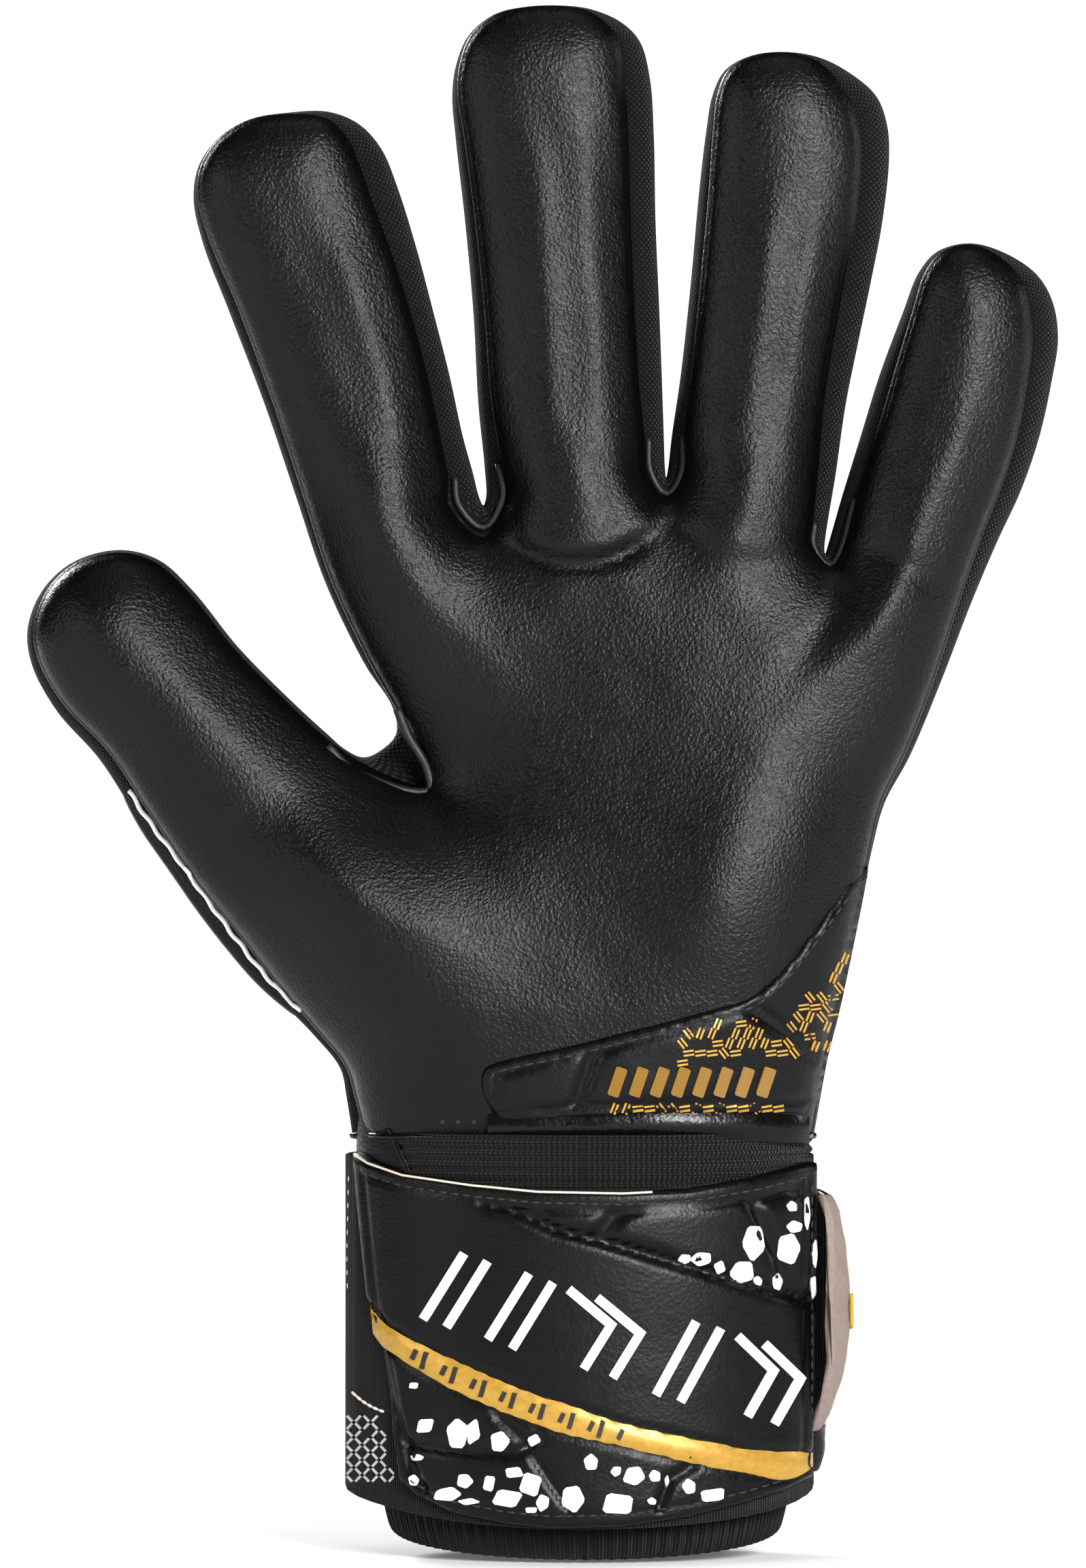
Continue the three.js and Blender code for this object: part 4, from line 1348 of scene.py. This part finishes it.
MARKS = [
    [(-29.0, 44.0), (-21.7, 55.8)],
    [(-24.8, 42.6), (-17.5, 54.4)],
    [(-17.4, 40.4), (-10.1, 52.2)],
    [(-13.1, 38.7), (-5.8, 50.6)],
    [(-3.0, 49.4), (4.6, 43.0), (-0.3, 35.1)],
    [(2.1, 47.9), (9.8, 41.5), (4.9, 33.5)],
    [(12.6, 30.4), (19.8, 43.6)],
    [(17.0, 29.2), (24.2, 42.4)],
    [(27.2, 41.0), (33.6, 34.8), (29.0, 26.6)],
    [(32.0, 39.6), (38.4, 33.4), (33.8, 25.2)],
]
PEBBLES = [
    (29.9, 57.9, 2.1, 3.2), (37.2, 64.0, 0.9, 1.0), (37.5, 61.0, 1.2, 1.1), (36.9, 56.7, 2.3, 2.7),
    (40.1, 62.5, 0.5, 4.0), (40.7, 55.5, 0.5, 2.3), (40.7, 50.0, 0.5, 2.1), (21.0, 54.6, 1.8, 1.2),
    (18.3, 54.8, 1.4, 1.0), (24.4, 53.1, 1.1, 1.2), (28.2, 52.6, 2.0, 1.8), (31.1, 51.1, 0.9, 0.9),
    (34.2, 50.6, 1.0, 1.2), (-30.3, 32.2, 1.0, 0.8), (-28.7, 25.0, 1.7, 1.7), (-22.6, 23.2, 2.1, 2.6),
    (-20.0, 24.1, 1.5, 2.1), (-14.8, 21.7, 1.8, 1.8), (-9.2, 22.0, 1.2, 1.3), (-29.8, 19.5, 1.3, 0.7),
    (-30.5, 14.9, 0.9, 1.0), (-21.7, 14.9, 1.3, 1.5), (-24.1, 12.5, 2.9, 1.5), (-20.7, 11.5, 2.1, 0.7),
    (-17.1, 14.6, 1.3, 1.8), (-12.5, 16.5, 2.1, 1.0), (-10.1, 14.8, 2.0, 2.3), (-13.9, 11.5, 2.6, 1.7),
    (-9.3, 10.2, 1.6, 0.7), (-7.2, 11.3, 1.3, 1.7), (-2.4, 12.2, 2.0, 2.7), (1.1, 18.3, 1.6, 1.7),
    (5.2, 17.1, 1.1, 1.0), (8.5, 15.6, 2.3, 2.0), (6.1, 11.3, 3.5, 2.1), (12.5, 15.6, 1.2, 1.3),
    (14.9, 15.2, 0.5, 1.2), (11.6, 11.3, 0.9, 0.7), (18.3, 14.0, 1.2, 1.2), (22.6, 12.8, 2.7, 1.5),
]

marks = Gathered()
for line in MARKS:
    marks.patch(denser(stroke(line, 1.65), 1.2), strap_tree, 0.30, 0.5)
for x, z, rx, rz in PEBBLES:
    x, z = x + rng.uniform(-0.6, 0.3), z + rng.uniform(-0.45, 0.45)
    rx, rz = rx * rng.uniform(0.85, 1.15), rz * rng.uniform(0.85, 1.15)
    n = rng.choice((4, 5, 5))
    first = rng.uniform(0, math.tau)
    ring = []
    for k in range(n):
        a = first + math.tau * k / n
        r = rng.uniform(0.86, 1.24)
        ring.append((x + rx * r * math.cos(a), z + rz * r * math.sin(a)))
    marks.patch(denser(rounded(ring, 1, 0.14), 1.0), strap_tree, 0.24, 0.45)
marks.build("strap_white_marks", WHITE, "hand")

stripe_line = np.vstack([curve(STRIPE_TOP, 1.5), curve(STRIPE_BOTTOM, 1.5)])
stripe_line[:, 0] = np.clip(stripe_line[:, 0], -38.4, 40.5)
stripe = Gathered()
stripe.patch(stripe_line, strap_tree, 0.32, 0.6, 1.3)
stripe.build("strap_gold_stripe", GOLD, "hand")

ticks = Gathered()
middle_x = np.linspace(-38, 40, 60)
middle = np.array([np.interp(middle_x, *np.array(line).T) for line in (STRIPE_TOP, STRIPE_BOTTOM[::-1])]).mean(0)
for k, x in enumerate(np.arange(-30.5, 7.5, 1.75)):
    if k % 6 in (2, 5):
        continue
    z = float(np.interp(x, middle_x, middle))
    half = 1.35 if k % 3 else 0.8
    ticks.patch(stroke([(x - 0.4, z - half), (x + 0.4, z + half)], 0.8), strap_tree, 0.55, 0.35)
ticks.build("strap_stripe_ticks", INK, "hand")

strap_seams = Gathered()
for f, inset in ((1.0, 1.9), (0.0, 1.9)):
    xs = np.linspace(-40.6 if f else -32.0, 40.6, 90)
    strap_seams.stitches([(x, float(strap_z(x, f, inset))) for x in xs], strap_tree, 2.1, 1.3, 0.24, 0.02)
strap_seams.stitches([(40.6, z) for z in np.linspace(18, 70, 40)], strap_tree, 2.1, 1.3, 0.22, 0.02)
strap_seams.build("strap_panel_stitches", THREAD, "hand")

silver = Gathered()
for row, z in enumerate(np.arange(15.4, 27.0, 1.35)):
    for col, x in enumerate(np.arange(-42.2, -32.6, 1.5)):
        if x > -34.2 - (z - 15) * 0.22 or rng.random() < 0.08:
            continue
        lean = 0.5 if (row + col) % 2 else -0.5
        silver.patch(stroke([(x - 0.45, z - lean), (x + 0.45, z + lean)], 0.42), strap_tree, 0.14, 0.3)
silver.build("strap_silver_chevrons", SILVER, "hand")

pale = Gathered()
pale_curve = curve([(-42.0, 31.2), (-40.0, 29.4), (-37.6, 28.0), (-36.0, 27.4)], 0.8)
pale.stitches(pale_curve, strap_tree, 1.15, 0.9, 0.30, 0.1)
pale.stitches(curve([(-42.4, 70), (-42.7, 55), (-42.6, 48)], 0.8), strap_tree, 2.4, 0.8, 0.14, 0.02)
pale.build("strap_pale_stitches", CREAM, "hand")

# A pale cream cord along the strap's top edge: a painted highlight, standing for the light caught on the edge of the
# strap's backing.
painted_highlight_line = [draped(strap_tree, x, float(strap_z(x, 1.0)) - 0.25, 0.0) for x in np.linspace(-41.4, 12, 70)]
painted_highlight_line = np.array([p for p in painted_highlight_line if p is not None]) + [0, 0, 0.3]
top_line = tube("strap_top_painted_highlight", painted_highlight_line, 0.22, CREAM, 6)
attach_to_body(top_line, "hand")

# ---- The strap's far side: its turned end, the flap, and the pull tab ----

END_Z = [24.5, 28, 33, 37.5, 43.4, 52.2, 58, 63.8, 66.5]
END_A = [42.4, 44.4, 46.1, 47.2, 47.7, 47.6, 46.9, 45.9, 44.4]

end_rows, end_uv = [], []
for z in np.linspace(24.6, 66.4, 34):
    a = float(np.interp(z, END_Z, END_A))
    row, pair = [], []
    start = 66 + 8 * abs(z - 46) / 21
    for deg in np.linspace(start, 82, 18):
        row.append(wrist_point(a + 0.15 * math.sin(z * 0.8 + deg * 0.3), deg, z))
        pair.append((deg * PER_DEGREE, z))
    end_rows.append(row)
    end_uv.append(pair)
end, _, _ = solid_strip("strap_end_taupe", end_rows, end_uv, 1.3, TAUPE)
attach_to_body(end, "hand")

rim_line = [wrist_point(float(np.interp(z, END_Z, END_A)) + 0.1, 82.3, z) for z in np.linspace(25.5, 65.6, 50)]
rim = tube("strap_end_rim", rim_line, 0.42, CREAM, 7)
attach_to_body(rim, "hand")
gold_rim_line = [wrist_point(float(np.interp(z, END_Z, END_A)) + 0.35, 81.8, z) for z in np.linspace(42.7, 48.9, 12)]
gold_rim = tube("strap_end_gold", gold_rim_line, 0.45, GOLD, 7)
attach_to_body(gold_rim, "hand")


def flap_a(deg, z):
    start = float(np.interp(z, END_Z, END_A))
    k = float(smoothstep(86, 116, deg))
    return start * (1 - k) + 45.6 * k


FLAP_START, FLAP_END = 88.6, 200.5  # degrees round the wrist
flap_rows, flap_uv = [], []
flap_f = np.linspace(0, 1, 40)
for f in flap_f:
    row, pair = [], []
    for deg in np.linspace(FLAP_START, FLAP_END, 110):
        low = np.interp(deg, [86, 110], [25.5, 16.2])
        high = np.interp(deg, [86, 110], [65.5, 66.8])
        if deg > 190:  # the rounded corners
            turn = (deg - 190) / 10.5
            cut = 6.5 * (1 - math.sqrt(max(0.0, 1 - turn * turn)))
            low, high = low + cut, high - cut
        z = low + (high - low) * f
        w = (deg - 88.4) * PER_DEGREE
        e = min(z - low, high - z, w, (FLAP_END - deg) * 0.75)
        crown = math.sqrt(max(0.0, 1 - (1 - min(e / 1.1, 1)) ** 2)) - 1
        h = -0.35 * math.exp(-(((e - 2.0) / 0.5) ** 2)) + 0.45 * crown
        for centre in (24.0, 42.0, 60.0):
            slope = w - centre - (z - 41) * 0.35
            h -= 0.55 * math.exp(-((slope / 0.7) ** 2)) * (1 if 3.5 < z - low and 3.5 < high - z else 0)
        row.append(wrist_point(flap_a(deg, z) + h, deg, z))
        pair.append((w, z))
    flap_rows.append(row)
    flap_uv.append(pair)
flap, flap_v, flap_faces = solid_strip("strap_flap_embossed", flap_rows, flap_uv, 1.5, LEATHER)
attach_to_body(flap, "strap_flap")
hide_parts("strap_flap")
flap_tree = BVHTree.FromPolygons(flap_v.tolist(), flap_faces)

lining_degs, lining_z = np.linspace(94, 199, 60), np.linspace(24, 62, 12)
lining_rows = [[wrist_point(flap_a(d, z) - 2.0, d, z) for d in lining_degs] for z in lining_z]
lining_uv = [[(d * PER_DEGREE, z) for d in lining_degs] for z in lining_z]
flap_lining, _, _ = solid_strip("strap_flap_lining", lining_rows, lining_uv, 0.5, TAUPE)
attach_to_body(flap_lining, "strap_flap")

flap_stitches = Gathered()
for z in (19.6, 63.6):
    flap_stitches.stitches([(x, z) for x in np.linspace(38, -12, 60)], flap_tree, 2.3, 1.4, 0.24, 0.05, True)
flap_stitches.build("strap_flap_stitches", THREAD, "strap_flap")
flap_marks = Gathered()
for k in range(5):
    x = 22 - k * 7.0
    chevron = denser(stroke([(x + 3.2, 50), (x - 1.2, 41), (x + 3.2, 32)], 1.7), 1.4)
    flap_marks.patch(chevron, flap_tree, 0.25, 0.5, 1.4, True)
flap_marks.build("strap_flap_gold_chevrons", GOLD, "strap_flap")

tab_rows, tab_uv = [], []
for z in np.linspace(27, 55, 20):
    end_deg = 223.5 - 5.5 * (abs(z - 41) / 14) ** 3
    degs = np.linspace(202.2, end_deg, 22)
    tab_rows.append([wrist_point(45.2 + 0.25 * math.cos((d - 202) * 1.3), d, z) for d in degs])
    tab_uv.append([(d * PER_DEGREE, z) for d in degs])
tab, _, _ = solid_strip("strap_tab_end", tab_rows, tab_uv, 1.7, TAUPE)
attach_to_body(tab, "strap_tab")
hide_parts("strap_pull_tab")

# The tab is sewn on by a tongue of its own cloth, under the flap's end.
tongue_degs, tongue_z = np.linspace(194, 204.2, 12), np.linspace(28.2, 53.8, 10)
tongue_rows = [[wrist_point(44.9, d, z) for d in tongue_degs] for z in tongue_z]
tongue_uv = [[(d * PER_DEGREE, z) for d in tongue_degs] for z in tongue_z]
tab_tongue, _, _ = solid_strip("strap_tab_tongue", tongue_rows, tongue_uv, 0.5, TAUPE)
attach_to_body(tab_tongue, "strap_flap")

for cad_name in ("strap_loop_patch", "strap_hook_patch"):
    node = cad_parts[cad_name]
    node.data.materials.clear()
    node.data.materials.append(HOOKS)

# ---- Stitching and print on the back ----

back_seams = Gathered()
for line in PAD_SEAMS:
    back_seams.stitches(curve(line, 1.0), whole_back_tree, 2.4, 1.5, 0.26, 0.12, True)
pad_ring = closed(rounded(curve(PAD_OUTLINE + PAD_OUTLINE[:1], 6.0)[:-1], 1))
pad_ring = pad_ring + (np.array([8, 138]) - pad_ring) * 0.035
back_seams.stitches(pad_ring, whole_back_tree, 2.4, 1.5, 0.26, 0.10, True)
back_seams.build("backhand_pad_stitches", THREAD, "hand")

back_print = Gathered()
for k in range(4):
    x = (-22.5, -4.5, 19.5, 41.0)[k]
    for j in range(3):
        z = 164 - j * 4.6 - abs(k - 1.5) * 2
        chevron = denser(stroke([(x - 3.9, z + 2.4), (x, z - 0.8), (x + 3.9, z + 2.4)], 1.1), 1.2)
        back_print.patch(chevron, whole_back_tree, 0.22, 0.5, 1.2, True)
back_print.build("backhand_white_chevrons", WHITE, "hand")

# ---- Piping ----

PIPING = [(-82.6, 138.3), (-78.7, 132.4), (-73.4, 125.4), (-68.3, 118.3), (-63.2, 111.5), (-57.9, 104.9), (-51.7, 98.6)]


def near(point):
    return int(np.argmin(np.hypot(edge_s[:, 0] - point[0], edge_s[:, 1] - point[1])))


def gusset_path(first, last, depth, out=0.25):
    """A line along the gusset between two places of its outline; depth is its share of the way from palm to back."""
    r = depth * ROWS
    low = int(r)
    rows = gusset_rows[low, first:last] * (1 - r + low) + gusset_rows[min(low + 1, ROWS), first:last] * (r - low)
    n = -normals_2d(edge_s)[first:last]
    return rows + np.stack([n[:, 0] * out, np.full(len(n), -0.25), n[:, 1] * out], 1)


CROTCHES = (
    ("index_middle", (-20.1, 195.6), (-18.1, 197)),
    ("middle_ring", (14.1, 202), (15.5, 202.5)),
    ("ring_little", (43.4, 186.5), (46.0, 191.5)),
)
for name, a, b in CROTCHES:
    line = gusset_path(near(a), near(b) + 1, 0.12, 0.1)
    cord = tube(f"crotch_{name}_piping", line, 0.75, PIPE, 7)
    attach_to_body(cord, "hand")

web_line = np.array([
    (-46.0, 146.8), (-42.5, 143.2), (-37, 140.4), (-31, 138.6),
    (-27.8, 138.9), (-28.4, 143), (-31.6, 148.5), (-33.6, 153.5),
])
web_curve = curve(web_line, 1.0)
web_y = front_y(web_curve[:, 0], web_curve[:, 1], np.full(len(web_curve), 0.6)) + 0.2
web_pipe = tube("web_piping", np.stack([web_curve[:, 0], web_y, web_curve[:, 1]], 1), 0.85, PIPE, 8)
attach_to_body(web_pipe, "hand")

side_tree = BVHTree.FromPolygons(
    np.vstack([palm_v, gusset_rows.reshape(-1, 3)]).tolist(),
    palm_f + [tuple(i + len(palm_v) for i in f) for f in gusset_faces],
)
side_line = curve(PIPING, 0.8)
side_in = -normals_2d(side_line)
side_in *= -1 if side_in[len(side_in) // 2][0] < 0 else 1
white_line, edge_line = [], []
for k, (p, n) in enumerate(zip(side_line, side_in)):
    inner = p + n * (1.1 + 0.16 * math.sin(k * 0.9))
    hit = draped(side_tree, inner[0], inner[1], 0.15)
    if hit is not None:
        white_line.append(hit)
    bulge = 1.5 * math.sin(math.pi * k / (len(side_line) - 1)) ** 0.5
    outer = p - n * (bulge - 1.3)
    edge_line.append((outer[0], gusset_rows[5, near(p)][1], outer[1]))
white_pipe = tube("thumb_side_white_piping", np.array(white_line), 0.48, WHITE, 6)
side_edge = tube("thumb_side_backhand_edge", np.array(edge_line), 1.5, PAD, 10)
for piece in (white_pipe, side_edge):
    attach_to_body(piece, "hand")

# ---- Light, floor ----

floor_mesh = bpy.data.meshes.new("floor")
FLOOR_Z = 1.8 * MM
FLOOR_RADIUS = 6
SIDES = 96
rim = [(FLOOR_RADIUS * math.cos(a), FLOOR_RADIUS * math.sin(a)) for a in np.linspace(0, math.tau, SIDES + 1)[:-1]]
floor_v = [(0, 0, FLOOR_Z)] + [(x * k, y * k, FLOOR_Z) for k in (0.2, 1.0) for x, y in rim]
floor_f = [(0, 1 + i, 1 + (i + 1) % SIDES) for i in range(SIDES)]
floor_f += [
    (1 + i, 1 + SIDES + i, 1 + SIDES + (i + 1) % SIDES, 1 + (i + 1) % SIDES) for i in range(SIDES)
]
floor_mesh.from_pydata(floor_v, [], floor_f)
floor_mesh.polygons.foreach_set("use_smooth", [True] * len(floor_f))
floor = bpy.data.objects.new("floor", floor_mesh)
bpy.context.scene.collection.objects.link(floor)
floor_mat = bpy.data.materials.new("floor")
floor_mat.use_nodes = True
floor_tree = floor_mat.node_tree
floor_shader = floor_tree.nodes["Principled BSDF"]
floor_shader.inputs["Base Color"].default_value = (0.86, 0.86, 0.86, 1)
floor_shader.inputs["Roughness"].default_value = 0.9
floor_shader.inputs["Emission Color"].default_value = (1, 1, 1, 1)
# Away from the lamps the floor shines a little, to stay as pale as it is beside the glove.
place = floor_tree.nodes.new("ShaderNodeTexCoord")
reach = floor_tree.nodes.new("ShaderNodeVectorMath")
reach.operation = "LENGTH"
glow = floor_tree.nodes.new("ShaderNodeMapRange")
glow.interpolation_type = "SMOOTHSTEP"
for key, value in (("From Min", 0.15), ("From Max", 1.6), ("To Min", 0.12), ("To Max", 0.74)):
    glow.inputs[key].default_value = value
floor_tree.links.new(place.outputs["Object"], reach.inputs[0])
floor_tree.links.new(reach.outputs["Value"], glow.inputs["Value"])
floor_tree.links.new(glow.outputs["Result"], floor_shader.inputs["Emission Strength"])
floor_mesh.materials.append(floor_mat)


def area_light(name, location, target, size, power):
    data = bpy.data.lights.new(name, "AREA")
    data.shape = "RECTANGLE"
    data.size, data.size_y = size
    data.energy = power
    obj = bpy.data.objects.new(name, data)
    obj.location = location
    obj.rotation_euler = (Vector(target) - Vector(location)).to_track_quat("-Z", "Y").to_euler()
    bpy.context.scene.collection.objects.link(obj)
    return obj


area_light("key", (0.62, -1.42, 0.62), (0, 0, 0.14), (0.45, 0.6), 33)
area_light("fill", (-1.3, -0.9, 0.6), (0, 0, 0.14), (0.3, 0.6), 5.0)
area_light("top", (0.1, -0.1, 1.5), (0, 0, 0.15), (0.9, 0.5), 2)
area_light("behind", (-0.8, 1.25, 0.8), (0, 0, 0.14), (0.4, 0.5), 20)
area_light("side", (1.5, 0.5, 0.6), (0, 0, 0.14), (0.3, 0.6), 3)

# The world is white where the camera sees it, a third as bright for matt surfaces, and nearly dark in gloss.
world = bpy.data.worlds.new("world")
world.use_nodes = True
background = world.node_tree.nodes["Background"]
background.inputs["Color"].default_value = (1, 1, 1, 1)
seen = world.node_tree.nodes.new("ShaderNodeLightPath")
level = background.inputs["Strength"]
GLOSS_LEVEL, MATT_SHARE, SEEN_SHARE = 0.015, 0.30, 0.985
total = GLOSS_LEVEL
for output, share in (("Is Diffuse Ray", MATT_SHARE), ("Is Camera Ray", SEEN_SHARE)):
    add = world.node_tree.nodes.new("ShaderNodeMath")
    add.operation = "MULTIPLY_ADD"
    world.node_tree.links.new(seen.outputs[output], add.inputs[0])
    add.inputs[1].default_value = share
    if isinstance(total, float):
        add.inputs[2].default_value = total
    else:
        world.node_tree.links.new(total, add.inputs[2])
    total = add.outputs[0]
world.node_tree.links.new(total, level)
bpy.context.scene.world = world
bpy.context.scene.view_settings.view_transform = "Standard"
bpy.context.scene.view_settings.look = "Medium High Contrast"
